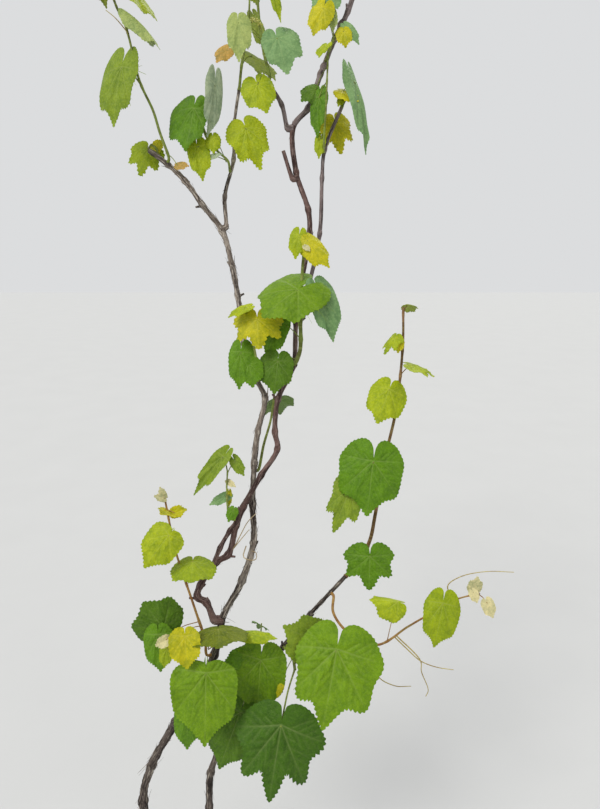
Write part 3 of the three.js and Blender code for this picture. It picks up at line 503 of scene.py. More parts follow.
def grown_leaves(grow, stem, numbers, tone):
    count, first, sizes, side = grow
    pick = lambda name: lerp(*GROWN[name], next(numbers))
    for k in range(count):
        share = k / (count - 1) if count > 1 else 0
        size = lerp(*sizes, share) * pick("size")
        bearing = side + 180 * (k % 2) + pick("spread")
        root = point_along(stem, lerp(first, LAST_LEAF, share))
        rise = heading(bearing, pick("rise"))
        joint = root + rise * size * pick("stalk")
        turn = pick("turn")
        tip = joint + heading(bearing + turn, -pick("drop")) * size
        facing = heading(bearing + pick("roll"), FACE_RISE)
        form = "lobed" if next(numbers) < LOBED_SHARE else "heart"
        width = size * pick("width")
        yield leaf_of(root, joint, tip, facing, width, form, pick("fold"), tone)


def feelers(leaf):
    """Points spread over a blade, for keeping leaves clear of each other and of the wood."""
    small, shallow = leaf["length"] < SMALL_BLADE, leaf["form"] == "heart"
    rows = [r for i, r in enumerate(OUTLINE) if (i % 3 == 0 if small else not shallow or r[2] < 0.5)]
    rows = [(*r, 1) for r in rows] + [(180, NOTCH, 0, 1)] + [(*r, -1) for r in reversed(rows[1:])]
    degrees, radius, sinus, hand = np.array(rows, float).T
    reach = radius * (1 - sinus * CUT[leaf["form"]])
    forward = reach * np.cos(np.radians(degrees))
    across = hand * reach * np.sin(np.radians(degrees)) * leaf["width"] / (leaf["length"] * WIDEST)
    lift = RIPPLE * (sinus - 0.5) * reach - DROOP * reach**2
    return np.concatenate([blade_point(leaf, forward * s, across * s, lift * s * s) for s in FEELER_SHARES])


def is_clear(spots, kept):
    if any(np.linalg.norm(spots[:, None] - other[None], axis=2).min() < LEAF_CLEARANCE for other in kept):
        return False
    for run, spot in product(RUNS, spots):
        gap, _, _, radius = nearest_on(run["rings"], spot)
        if gap < radius + LIMB_CLEARANCE:
            return False
    return True


kept = []
for index, shoot in enumerate(SHOOTS):
    if "end" in shoot:
        foot = carried_on(shoot["end"])
    else:
        foot = seat_on(shoot["on"], shoot["near"], shoot["stem"][0], shoot["radii"][0])
    shoot["curve"] = Curve([*foot, *shoot["stem"]])
    rings = stem_rings(shoot["curve"], shoot["radii"])
    shoot["made"] = [seen_leaf(rings, *row) for row in shoot["leaves"]]
    mine = [feelers(leaf) for leaf in shoot["made"]]
    if "grow" in shoot:
        for leaf in grown_leaves(shoot["grow"], rings, stream(SEED + index), shoot["tone"]):
            spots = feelers(leaf)
            if is_clear(spots, kept + mine):
                shoot["made"].append(leaf)
                mine.append(spots)
    kept += mine
    for *row, tone in shoot.get("tiny", ()):
        shoot["made"].append(seen_leaf(rings, *row, "heart", TINY_FOLD, tone))
print("leaves in all:", sum(len(shoot["made"]) for shoot in SHOOTS))

# %% [markdown]
# ## Making a mesh
# Every piece ends as a plain mesh at the origin, in metres. One helper turns points, faces, the
# material of each face and named numbers on the points into such a mesh, and shades it smooth except
# where two faces meet sharply, as along a blade's edge.

# %% One helper for all meshes


def show(name, data):
    """Puts data in the scene as an object at the origin."""
    thing = bpy.data.objects.new(name, data)
    bpy.context.scene.collection.objects.link(thing)
    return thing


def give_numbers(mesh, numbers):
    """Writes a number, or three, on each point of a mesh."""
    for label, values in numbers.items():
        values = np.asarray(values, np.float32)
        triple = values.ndim == 2
        layer = mesh.attributes.new(label, "FLOAT_VECTOR" if triple else "FLOAT", "POINT")
        layer.data.foreach_set("vector" if triple else "value", values.ravel())


def plain_mesh(name, points, faces, materials, face_material=None, numbers=None, sharp=50):
    mesh = bpy.data.meshes.new(name)
    mesh.from_pydata((np.asarray(points) * MM).tolist(), [], faces)
    for material in materials:
        mesh.materials.append(material)
    if face_material is not None:
        mesh.polygons.foreach_set("material_index", np.asarray(face_material, np.int32))
    mesh.polygons.foreach_set("use_smooth", np.ones(len(mesh.polygons), bool))
    mesh.set_sharp_from_angle(angle=math.radians(sharp))
    give_numbers(mesh, numbers or {})
    return show(name, mesh)


def settle(piece, slot, nodes):
    """Every piece stands still with the plant, in place of its solids."""
    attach(piece, "root")
    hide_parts(*nodes)
    return piece


def hashed_noise(points, seed=0):
    """Soft noise from -1 to 1 at each point, one unit from lump to lump."""
    cell = np.floor(points).astype(np.int64)
    part = points - cell
    part = part * part * (3 - 2 * part)
    total = np.zeros(len(points))
    for corner in product((0, 1), repeat=3):
        mixed = ((cell + corner) * [73856093, 19349663, 83492791]).sum(1) + seed * 2654435761
        mixed = (mixed ^ (mixed >> 13)) * 1274126177 % 4294967296
        mixed = (mixed ^ (mixed >> 16)) & 65535
        total += mixed / 65535 * np.where(corner, part, 1 - part).prod(1)
    return total * 2 - 1


test_points = np.random.default_rng(1).uniform(0, 40, (2000, 3))
print("noise spread:", round(float(hashed_noise(test_points).std()), 2))

# %% [markdown]
# ## Shared effects in the finishes
# Bark, green stems and blades all change colour from place to place. The pattern is a node group, so
# that each finish puts its own colours and sizes in. Bark streaks run along the wood, so its group
# reads a place that each bark point carries: round the limb in two numbers, and along it in the
# third, squeezed. That leaves no seam and turns with every bend.

# %% Node helpers


def new_tree(name, kind, inputs, outputs):
    """An empty node group, the sockets that its start gives and the sockets that its end takes."""
    tree = bpy.data.node_groups.new(name, kind + "NodeTree")
    for label, socket_kind, *value in inputs:
        socket = tree.interface.new_socket(label, in_out="INPUT", socket_type="NodeSocket" + socket_kind)
        if value:
            socket.default_value = value[0]
    for label, socket_kind in outputs:
        tree.interface.new_socket(label, in_out="OUTPUT", socket_type="NodeSocket" + socket_kind)
    return tree, tree.nodes.new("NodeGroupInput").outputs, tree.nodes.new("NodeGroupOutput").inputs


def add(tree, kind, inputs=None, **settings):
    """Adds a node, sets it, fills or links its inputs, and returns its outputs."""
    node = tree.nodes.new(kind)
    for label, value in settings.items():
        setattr(node, label, value)
    for key, value in (inputs or {}).items():
        if isinstance(value, bpy.types.NodeSocket):
            tree.links.new(value, node.inputs[key])
        else:
            node.inputs[key].default_value = value
    return node.outputs


def link_up(tree, ends, results):
    """Links each result to the socket of that name."""
    for label, socket in results.items():
        tree.links.new(socket, ends[label])


def noise(tree, place, scale, detail, rough=0.55):
    """Soft noise from 0 to 1, with so many lumps a unit."""
    inputs = {"Vector": place, "Scale": scale, "Detail": detail, "Roughness": rough}
    return add(tree, "ShaderNodeTexNoise", inputs)["Fac"]


def ramp(tree, value, low, high):
    """Stretches a value so that low becomes 0 and high becomes 1."""
    inputs = {"Value": value, "From Min": low, "From Max": high}
    return add(tree, "ShaderNodeMapRange", inputs, interpolation_type="SMOOTHSTEP")["Result"]


def between(tree, value, none, full):
    """The second number where the value is 0 and the third where it is 1."""
    return add(tree, "ShaderNodeMapRange", {"Value": value, "To Min": none, "To Max": full})["Result"]


def blend(tree, share, first, second):
    return add(tree, "ShaderNodeMix", {0: share, 6: first, 7: second}, data_type="RGBA")[2]


def times(tree, first, second):
    return add(tree, "ShaderNodeMath", {0: first, 1: second}, operation="MULTIPLY")[0]


def plus(tree, first, second):
    return add(tree, "ShaderNodeMath", {0: first, 1: second}, operation="ADD")[0]


# %% Streaked bark
PATTERN = [("Colour", "Color"), ("Roughness", "Float"), ("Height", "Float")]
STREAKS, BARK_PATCHES, FLECKS = 130.0, 28.0, 330.0
FLECK_COLOUR = (0.42, 0.38, 0.31, 1)


def bark_pattern():
    tree, given, ends = new_tree("streaked bark", "Shader", [
        ("Base", "Color", (0.1, 0.07, 0.05, 1)), ("Crack", "Color", (0.02, 0.015, 0.01, 1)),
        ("Pale", "Color", (0.3, 0.26, 0.2, 1)), ("Pale share", "Float", 0.5),
        ("Fibre scale", "Float", 420.0)], PATTERN)
    place = add(tree, "ShaderNodeAttribute", attribute_name="bark_place")["Vector"]
    deep = add(tree, "ShaderNodeAttribute", attribute_name="hollow")["Fac"]
    own = add(tree, "ShaderNodeTexCoord")["Object"]
    fibre = noise(tree, place, given["Fibre scale"], 4.0, 0.6)
    streak = noise(tree, place, STREAKS, 3.0)
    patch = noise(tree, own, BARK_PATCHES, 2.0)
    fleck = noise(tree, own, FLECKS, 2.0)
    shade = blend(tree, ramp(tree, streak, 0.38, 0.62), given["Crack"], given["Base"])
    pale_share = times(tree, ramp(tree, fibre, 0.5, 0.66), given["Pale share"])
    shade = blend(tree, pale_share, shade, given["Pale"])
    shade = blend(tree, times(tree, ramp(tree, patch, 0.5, 0.72), 0.35), shade, given["Pale"])
    shade = blend(tree, times(tree, ramp(tree, fleck, 0.66, 0.72), 0.55), shade, FLECK_COLOUR)
    link_up(tree, ends, {"Colour": blend(tree, deep, shade, given["Crack"]),
                         "Roughness": between(tree, fibre, 0.95, 0.7), "Height": plus(tree, fibre, streak)})
    return tree


BARK_GROUP = bark_pattern()

# %% [markdown]
# A blade has a base colour, a second colour where it yellows or darkens, and paler veins. The group
# mixes them by soft patches, by a number that says how near a vein each point lies, and by a number
# that is the same all over one blade, so that no two blades match. A fine net of cells stands for the
# smallest veins, and gives the bump. Larger cells raise a bulge each, and the top of every bulge is
# lightened towards the second colour: a painted highlight, the sky's sheen on the bumps.

# %% Leaf blade pattern
BLADE_PATCHES, GRAIN, NET, QUILT = 45.0, 300.0, 420.0, 170.0


def blade_pattern():
    tree, given, ends = new_tree("leaf blade", "Shader", [
        ("Base", "Color", (0.1, 0.2, 0.02, 1)), ("Second", "Color", (0.2, 0.3, 0.03, 1)),
        ("Vein", "Color", (0.4, 0.5, 0.15, 1)), ("Vein share", "Float", 0.6), ("Patch share", "Float", 0.6)],
        PATTERN)
    own = add(tree, "ShaderNodeTexCoord")["Object"]
    near_vein = add(tree, "ShaderNodeAttribute", attribute_name="near_vein")["Fac"]
    tint = add(tree, "ShaderNodeAttribute", attribute_name="blade_tint")["Fac"]
    patch = noise(tree, own, BLADE_PATCHES, 3.0)
    grain = noise(tree, own, GRAIN, 4.0, 0.7)
    cells = add(tree, "ShaderNodeTexVoronoi", {"Vector": own, "Scale": NET}, feature="DISTANCE_TO_EDGE")
    net = ramp(tree, cells["Distance"], 0.0, 0.16)
    bulges = {"Vector": own, "Scale": QUILT, "Smoothness": 0.35}
    quilt_and_sheen = add(tree, "ShaderNodeTexVoronoi", bulges, feature="SMOOTH_F1")["Distance"]
    patches = times(tree, ramp(tree, patch, 0.35, 0.68), given["Patch share"])
    mixed = plus(tree, times(tree, patches, 0.8), times(tree, tint, 0.35))
    shade = blend(tree, mixed, given["Base"], given["Second"])
    # Painted highlight: the top of each bulge is lightened towards the second colour, as sky sheen on it.
    shade = blend(tree, times(tree, ramp(tree, quilt_and_sheen, 0.8, 0.1), 0.6), shade, given["Second"])
    shade = blend(tree, times(tree, ramp(tree, grain, 0.42, 0.66), 0.45), shade, given["Base"])
    shade = blend(tree, times(tree, near_vein, given["Vein share"]), shade, given["Vein"])
    shade = blend(tree, between(tree, net, 0.22, 0.0), shade, given["Vein"])
    heights = plus(tree, times(tree, net, 0.25), times(tree, grain, 0.15))
    link_up(tree, ends, {"Colour": shade, "Roughness": between(tree, patch, 0.55, 0.38),
                         "Height": plus(tree, heights, times(tree, quilt_and_sheen, -1.4))})
    return tree


BLADE_GROUP = blade_pattern()
print("patterns:", BARK_GROUP.name, "and", BLADE_GROUP.name)

# %% [markdown]
# ## Finishes
# Each finish is one shader with a group's colour, roughness and bump. A leaf is thin, and daylight
# that falls on its far side comes through yellower, so blades mix in a translucent shader.

# %% Finishes for wood, stems and blades
SHINE = 0.22


def finish_of(name, group, values, bump, depth, glow=None):
    material = bpy.data.materials.new(name)
    material.use_nodes = True
    tree = material.node_tree
    shader = tree.nodes["Principled BSDF"]
    values = {label: (*value, 1) if isinstance(value, tuple) else value for label, value in values.items()}
    pattern = add(tree, "ShaderNodeGroup", values, node_tree=group)
    lumps = add(tree, "ShaderNodeBump", {"Strength": bump, "Distance": depth, "Height": pattern["Height"]})
    link_up(tree, shader.inputs, {"Base Color": pattern["Colour"], "Roughness": pattern["Roughness"],
                                  "Normal": lumps["Normal"]})
    shader.inputs["Specular IOR Level"].default_value = SHINE
    if glow:
        through = add(tree, "ShaderNodeBsdfTranslucent", {"Color": pattern["Colour"]})
        both = {"Fac": glow, 1: shader.outputs["BSDF"], 2: through["BSDF"]}
        surface = add(tree, "ShaderNodeMixShader", both)["Shader"]
        tree.links.new(surface, tree.nodes["Material Output"].inputs["Surface"])
    return material


# Each wood's base, crack and pale colours, its share of pale, how fine its fibres are, and its bump.
WOODS = {
    "old stem bark": ((0.075, 0.058, 0.05), (0.015, 0.011, 0.01), (0.24, 0.2, 0.17), 0.6, 420.0, 0.6),
    "grey cane bark": ((0.18, 0.145, 0.12), (0.032, 0.024, 0.02), (0.52, 0.46, 0.39), 0.9, 420.0, 0.6),
    "red cane bark": ((0.13, 0.075, 0.065), (0.035, 0.018, 0.016), (0.3, 0.215, 0.19), 0.6, 560.0, 0.4),
    "mauve branch bark": ((0.19, 0.145, 0.14), (0.06, 0.045, 0.043), (0.34, 0.29, 0.28), 0.6, 560.0, 0.4),
    "dry bark shreds": ((0.3, 0.25, 0.2), (0.07, 0.055, 0.045), (0.66, 0.6, 0.5), 0.8, 420.0, 0.6),
    "cut wood": ((0.45, 0.34, 0.2), (0.16, 0.1, 0.05), (0.6, 0.5, 0.34), 0.5, 700.0, 0.6),
    "green stem": ((0.2, 0.26, 0.05), (0.12, 0.14, 0.03), (0.34, 0.38, 0.12), 0.5, 700.0, 0.25),
    "reddened stem": ((0.24, 0.13, 0.06), (0.12, 0.07, 0.025), (0.36, 0.28, 0.1), 0.5, 700.0, 0.25),
    "orange stem": ((0.36, 0.2, 0.06), (0.22, 0.1, 0.03), (0.44, 0.34, 0.12), 0.5, 700.0, 0.25),
    "tendril": ((0.42, 0.34, 0.1), (0.26, 0.18, 0.05), (0.55, 0.5, 0.2), 0.5, 700.0, 0.25),
    "flower buds": ((0.5, 0.5, 0.12), (0.36, 0.34, 0.06), (0.7, 0.68, 0.3), 0.5, 700.0, 0.25),
    "dried tendril": ((0.5, 0.4, 0.25), (0.3, 0.22, 0.12), (0.62, 0.54, 0.38), 0.5, 700.0, 0.25),
}
WOOD_DEPTH = 0.0008


def wood_finish(name, base, crack, pale, share, fibres, bump):
    values = {"Base": base, "Crack": crack, "Pale": pale, "Pale share": share, "Fibre scale": fibres}
    return finish_of(name, BARK_GROUP, values, bump, WOOD_DEPTH)


BARKS = {name: wood_finish(name, *row) for name, row in WOODS.items()}
OLD_BARK, GREY_BARK, RED_BARK, MAUVE_BARK, SHRED, CUT_WOOD = list(BARKS.values())[:6]
STEMS = {"green": BARKS["green stem"], "red": BARKS["reddened stem"], "orange": BARKS["orange stem"]}
# The pale, washed and silver tones are partly painted light: their bluish white is painted sheen of the sky
# on blades turned towards it, and the green under it is the leaf's own.
TONES = {
    "deep": (0.048, 0.14, 0.001), "dark": (0.085, 0.2, 0.001), "green": (0.115, 0.275, 0.001),
    "light": (0.165, 0.32, 0.001), "soft": (0.235, 0.35, 0.015), "fresh": (0.3, 0.41, 0.001),
    "young": (0.39, 0.49, 0.001), "yellow": (0.56, 0.54, 0.002), "olive": (0.17, 0.22, 0.002),
    "pale": (0.23, 0.41, 0.15), "washed": (0.42, 0.52, 0.15), "silver": (0.44, 0.54, 0.33),
    "cream": (0.74, 0.66, 0.34), "amber": (0.6, 0.38, 0.08),
}
DARKER, PALER = (0.52, 0.62, 0.6), (1.3, 1.2, 1.3)
VEIN_COLOUR, FELT = (0.8, 0.85, 0.4), (0.5, 0.56, 0.34)


def tinted(colour, other, share):
    return tuple(lerp(a, b, share) for a, b in zip(colour, other))


def shaded(colour, factors):
    return tuple(min(c * f, 0.9) for c, f in zip(colour, factors))


def blade_finish(name, base, second, vein, vein_share, patch_share, *more):
    values = {"Base": base, "Second": second, "Vein": vein, "Vein share": vein_share,
              "Patch share": patch_share}
    return finish_of(name, BLADE_GROUP, values, *more)


UPPER, UNDER, RIBS = {}, {}, {}
for tone, colour in TONES.items():
    base, second = shaded(colour, DARKER), shaded(colour, PALER)
    vein = tinted(second, VEIN_COLOUR, 0.22)
    bump = 0.3 if tone in ("cream", "amber", "yellow") else 0.5
    UPPER[tone] = blade_finish(tone + " blade above", base, second, vein, 0.4, 0.8, bump, 0.0015, 0.22)
    felted = tinted(base, FELT, 0.22), tinted(second, FELT, 0.22), tinted(vein, FELT, 0.3)
    UNDER[tone] = blade_finish(tone + " blade below", *felted, 0.6, 0.5, 0.6, 0.0014, 0.3)
    ribs = tinted(base, vein, 0.5), tinted(base, vein, 0.8), vein
    RIBS[tone] = blade_finish(tone + " leaf veins", *ribs, 0.0, 0.5, 0.2, 0.0003, 0.2)
print(len(bpy.data.materials), "finishes")

# %% [markdown]
# ## Bark on the wood
# Old vine bark splits along the grain and hangs in shreds, and each bud leaves a swelling. A tube
# with a bump map would keep a smooth outline, so the relief is in the mesh: rings every few
# millimetres, each point pushed in or out by fibres that are long along the wood and narrow round it.
# One mesh covers several limbs of a run, so that no joint shows.

# %% Bark meshes
RING_STEP = 2.6
FIBRE_WIDTH, FIBRE_LENGTH = 1.25, 26
STRIP_WIDTH, STRIP_LENGTH = 3.6, 60
SMALL_LUMP, LARGE_LUMP = 7, 19
BUD_SWELL, BUD_WIDTH, FIRST_BUD = 0.34, 6.5, 4
COLLAR, COLLAR_HEIGHT = 0.4, 7
FEWEST_SIDES, MOST_SIDES = 26, 56
ALONG_SQUEEZE = 0.1


def limbs_of(run, names):
    return [limb for limb in run["limbs"] if limb["name"] in names]


def bud_places(own):
    return range(own[0]["first"] + 1, own[-1]["last"])


def skin_rings(run, own, relief, collar):
    """Centre, direction, radius and length from the run's foot, every few millimetres."""
    curve, last = run["curve"], len(run["places"]) - 1
    start, end = curve.length_to(own[0]["first"] / last), curve.length_to(own[-1]["last"] / last)
    buds = [curve.length_to(i / last) for i in bud_places(own)]
    rings = []
    for away in np.linspace(start, end, max(6, int((end - start) / RING_STEP)) + 1):
        t = curve.t_at(away)
        place = t * last
        limb = next(piece for piece in own if place <= piece["last"] + 1e-9)
        centre = curve.point(t)
        radius = radius_at(limb, place, centre) - 0.6 * relief
        if not own[0]["flare"] or place > FIRST_BUD:
            radius *= 1 + BUD_SWELL * sum(math.exp(-(((away - bud) / BUD_WIDTH) ** 2)) for bud in buds)
        if collar:
            radius *= 1 + COLLAR * math.exp(-(away - start) / COLLAR_HEIGHT)
        rings.append((centre, curve.tangent(t), radius, away))
    centre, along, radius, away = rings[0]
    if own[0]["flare"]:
        rings[0] = (centre, np.array([0.0, 0, 1]), radius, away)
    if collar:
        rings.insert(0, (centre - along * radius * 0.9, along, radius * 0.9, away - radius * 0.9))
    return rings


def bark_skin(name, run, names, finish, slot, relief, seed, collar):
    """A closed tube with relief over the named limbs of a run."""
    own = limbs_of(run, names)
    rings = skin_rings(run, own, relief, collar)
    thickest = max(radius for _, _, radius, _ in rings)
    sides = int(min(MOST_SIDES, max(FEWEST_SIDES, 2 * math.pi * thickest / FIBRE_WIDTH)))
    turns = np.arange(sides) * 2 * math.pi / sides
    points, places, side = [], [], np.array([1.0, 0, 0])
    for centre, along, radius, away in rings:
        side = square_to(side, along)
        over = np.cross(along, side)
        round_it = np.cos(turns)[:, None] * side + np.sin(turns)[:, None] * over
        where = np.stack([np.cos(turns) * radius, np.sin(turns) * radius, np.full(sides, away)], 1)
        fibres = hashed_noise(where / [FIBRE_WIDTH * 1.3, FIBRE_WIDTH * 1.3, FIBRE_LENGTH], seed)
        strips = hashed_noise(where / [STRIP_WIDTH, STRIP_WIDTH, STRIP_LENGTH], seed + 1)
        lumps = hashed_noise(where / SMALL_LUMP, seed + 2) + hashed_noise(where / LARGE_LUMP, seed + 3)
        push = relief * (0.5 * (1 - 2 * np.abs(fibres)) + 0.5 * strips + 0.55 * lumps)
        push *= min(1, radius / 6)
        points.append(centre + round_it * (radius + push)[:, None])
        places.append(where * [1, 1, ALONG_SQUEEZE] * MM)
    if own[0]["flare"]:
        points[0][:, 2] = 0
    hollow = []
    for spots, (centre, _, radius, _) in zip(points, rings):
        sunk = (radius - np.linalg.norm(spots - centre, axis=1)) / relief
        hollow.append(np.clip(sunk - 0.35, 0, 0.8))
    faces = [(j + k, j + (k + 1) % sides, j + (k + 1) % sides + sides, j + k + sides)
             for j in range(0, (len(rings) - 1) * sides, sides) for k in range(sides)]
    top = (len(rings) - 1) * sides
    faces += [tuple(range(sides - 1, -1, -1)), tuple(range(top, top + sides))]
    grain = np.repeat(np.array([along for _, along, _, _ in rings]), sides, axis=0)
    numbers = {"bark_place": np.concatenate(places), "hollow": np.concatenate(hollow), "grain": grain}
    piece = plain_mesh(name, np.concatenate(points), faces, [finish], numbers=numbers, sharp=70)
    settle(piece, slot, names)
    print(f"{name}: {len(rings)} rings of {sides}, {len(names)} limbs")
    return piece, rings


STEM_NAMES = ("trunk", "left_stem_lower", "left_stem_upper")
CANE_NAMES = ("grey_cane_lower", "grey_cane_upper", "grey_cane_left_branch")
RIGHT_NAMES = ("right_stem", "right_cane")
RED_NAMES = ("red_cane_foot", "red_cane_lower", "red_cane_middle", "red_cane_upper")
TOP_NAMES, BRANCH_NAMES, SLIM_NAMES = ("top_right_branch",), ("grey_cane_right_branch",), ("slim_cane",)
# Each skin's run, limbs, finish, slot, depth of relief, and whether a collar swells its foot.
SKINS = [
    ("trunk_and_left_stem", left_run, STEM_NAMES, OLD_BARK, "bark", 1.5, False),
    ("grey_cane", left_run, CANE_NAMES, GREY_BARK, "bark", 1.0, False),
    ("right_stem_and_cane", right_run, RIGHT_NAMES, OLD_BARK, "bark", 1.1, True),
    ("red_cane", red_run, RED_NAMES, RED_BARK, "red_bark", 0.65, True),
    ("top_right_branch_bark", red_run, TOP_NAMES, MAUVE_BARK, "bark", 0.8, False),
    ("front_loop_bark", front_loop, ("front_loop",), RED_BARK, "red_bark", 0.5, True),
    ("grey_branch_bark", grey_right, BRANCH_NAMES, GREY_BARK, "bark", 0.7, True),
    ("slim_cane_bark", slim_cane, SLIM_NAMES, MAUVE_BARK, "bark", 0.5, True),
    ("top_left_branch_bark", top_left, ("top_left_branch",), MAUVE_BARK, "red_bark", 0.5, True),
    ("cut_stub_bark", cut_stub, ("cut_stub",), RED_BARK, "bark", 0.5, True),
]
FIRST_SEED, SEED_STEP = 3, 10
skins = {}
for k, (name, run, names, finish, slot, relief, collar) in enumerate(SKINS):
    seed = FIRST_SEED + SEED_STEP * k
    skins[name] = bark_skin(name, run, names, finish, slot, relief, seed, collar)

# %% [markdown]
# ## Leaf blades
# A vine leaf is a round heart with a deep notch at its stalk, up to five lobes and coarse teeth. Five
# main veins start at the stalk, and side veins leave each of them. Between the veins the blade
# bulges. A picture on a flat card would give none of that from the side, so each blade is a thin
# closed shell: its margin is drawn first, with teeth, then rings of points shrink from the margin to
# the stalk, and each point is lifted by the droop, the ripple and the bulge between the nearest veins.

# %% The margin and its teeth
# A fuller outline than the solids' one, in the same three numbers.
FULL = [(0, 1.0, 0), (3, 0.95, 0), (8, 0.885, 0), (19, 0.82, 0.5), (29, 0.79, 1), (40, 0.83, 0.4),
        (50, 0.86, 0), (62, 0.78, 0.4), (74, 0.72, 0.75), (86, 0.71, 0.4), (98, 0.7, 0), (126, 0.62, 0.1),
        (150, 0.53, 0), (166, 0.42, 0), (175, 0.24, 0), (180, NOTCH, 0)]
DEEP = {"heart": 0.0, "broad": 0.12, "lobed": 0.27}
# Single leaves that differ, by shoot and order: how wide each half is, how far the ears stand back past
# the stalk, how much of the even spread its lobes keep, and how deep its cuts are.
OWN_SHAPE = {
    ("low_left_leaves", 0): (1.0, 0.86, 0.35, 0.9, 0), ("low_middle_leaves", 0): (1, 1, 0.7, 1, 0),
    ("low_right_leaves", 0): (0.8, 1.0, 0.8, 0.68, 0.14), ("low_right_leaves", 2): (0.97, 1, 0.7, 0.48, 0.3),
    ("left_shoot", 5): (0.92, 0.8, 0.4, 1, 0), ("upper_left_shoot", 0): (1.25, 0.85, 0.95, 0.72, 0.04),
    ("upper_left_shoot", 1): (1.5, 1.5, 0.9, 0.8, 0), ("small_front_shoot", 2): (0.95, 0.8, 0.6, 0.8, 0.1),
    ("right_shoot", 2): (1.04, 1, 0.9, 0.9, 0.04), ("middle_right_shoot", 2): (1.3, 1.4, 0.6, 0.9, 0),
    ("middle_right_shoot", 3): (1.15, 0.75, 1.45, 1, 0), ("top_left_shoot", 1): (0.7, 0.93, 0.85, 0.9, 0.06),
    ("grey_cane_side_leaves", 0): (0.95, 0.78, 0.85, 0.6, 0.12),
    ("grey_cane_middle_shoot", 0): (1.3, 0.6, 0.8, 0.85, 0.05),
    ("grey_cane_middle_shoot", 1): (1.4, 1.4, 0.8, 0.9, 0),
    ("slim_cane_tip_shoot", 2): (1.5, 1.5, 0.75, 0.9, 0),
}
TOOTH_SHAPE = np.array([0.0, 0.6, 1.0])
TOOTH_TALL, TOOTH_GROWTH, LOBED_TEETH = 1.3, 0.009, 1.35


def lobe_turn(leaf, deg):
    """Where an angle of the even outline lies on this leaf, in radians."""
    spread = leaf["shape"][3]
    return np.radians(deg) * (spread + (1 - spread) * np.abs(deg) / 180)


def margin_of(leaf, teeth):
    """The margin without and with its teeth, as forward and sideways shares of the length."""
    left, right, ears, _, cut = leaf["shape"]
    shorter = lambda deg: 1 - (1 - ears) * min(max((deg - 90) / 50, 0), 1) * (deg < 175)
    rows = [(lobe_turn(leaf, deg), r * (1 - sinus * cut) * shorter(deg)) for deg, r, sinus in FULL]
    half = np.array([[r * math.cos(a), r * math.sin(a)] for a, r in rows])
    lengths = lengths_along(half)
    marks = np.linspace(0, lengths[-1], teeth * 3 + 1)
    line = np.stack([np.interp(marks, lengths, half[:, i]) for i in (0, 1)], 1)
    loop = np.concatenate([line, line[-2:0:-1] * [1, -1]])
    window = max(1, round(teeth * 0.1))
    soft = sum(np.roll(loop, k, axis=0) for k in range(-window, window + 1)) / (2 * window + 1)
    # The corners at the stalk and at the tip stay sharp where the rest is rounded.
    keep = np.exp(-((np.linalg.norm(loop, axis=1) / 0.3) ** 4))
    keep = np.maximum(keep, np.exp(-((np.linalg.norm(loop - half[0], axis=1) / 0.03) ** 2)))
    base = loop * keep[:, None] + soft * (1 - keep[:, None])
    base[:, 1] *= np.where(base[:, 1] < 0, left, right)
    ahead = np.roll(base, -1, axis=0) - np.roll(base, 1, axis=0)
    outward = np.stack([ahead[:, 1], -ahead[:, 0]], 1)
    outward /= np.maximum(np.linalg.norm(outward, axis=1), 1e-9)[:, None]
    phase = np.arange(len(base)) % 3
    phase[len(line):] = (-np.arange(len(line), len(base))) % 3
    tall = (TOOTH_TALL + TOOTH_GROWTH * leaf["length"]) / leaf["length"]
    tall *= LOBED_TEETH if leaf["form"] == "lobed" else 1
    toothed = TOOTH_SHAPE[phase] * tall * np.clip((np.linalg.norm(base, axis=1) - 0.25) / 0.2, 0, 1)
    toothed *= 1 + 0.5 * hashed_noise(np.c_[base * 7, np.full(len(base), leaf["seed"])], 5)
    out = base + outward * toothed[:, None]
    out[:, 0] += toothed * 0.4
    return base, out


def edge_radius(base, angle):
    """How far the margin lies from the stalk in each direction, in radians from the tip."""
    angles = np.abs(np.arctan2(base[:, 1], base[:, 0]))
    order = np.argsort(angles)
    return np.interp(np.abs(angle), angles[order], np.linalg.norm(base, axis=1)[order])


# %% [markdown]
# Each side vein leaves its main vein at about 45 degrees and runs until it nears the margin or the
# next main vein's share of the blade. Veins are lines in the flat blade first. They then tell every
# point how far the nearest vein is, and they become raised ribs of their own.

# %% Veins of a blade
MAIN_VEINS = (0, 50, -50, 98, -98)
EARS, VEIN_END = (-150, 150), 140
SMALL, MEDIUM = 24, 44
VEIN_REACH, VEIN_STEP, VEIN_BEND = 0.95, 0.03, math.radians(1.6)
MOST_STEPS, FEWEST_MARKS = 26, 4
SIDE_VEIN_LAG = 0.006


def flat_way(angle):
    return np.array([math.cos(angle), math.sin(angle)])


def side_vein(base, spot, turn, hand, low, high):
    """Marks of a side vein that bends forwards until it nears the margin or leaves its main vein's share."""
    line = [spot]
    for _ in range(MOST_STEPS):
        step = spot + VEIN_STEP * flat_way(turn)
        there = math.atan2(step[1], step[0])
        if np.hypot(*step) > VEIN_REACH * edge_radius(base, there) or not low < there < high:
            break
        spot = step
        turn -= hand * VEIN_BEND
        line.append(spot)
    return np.array(line)


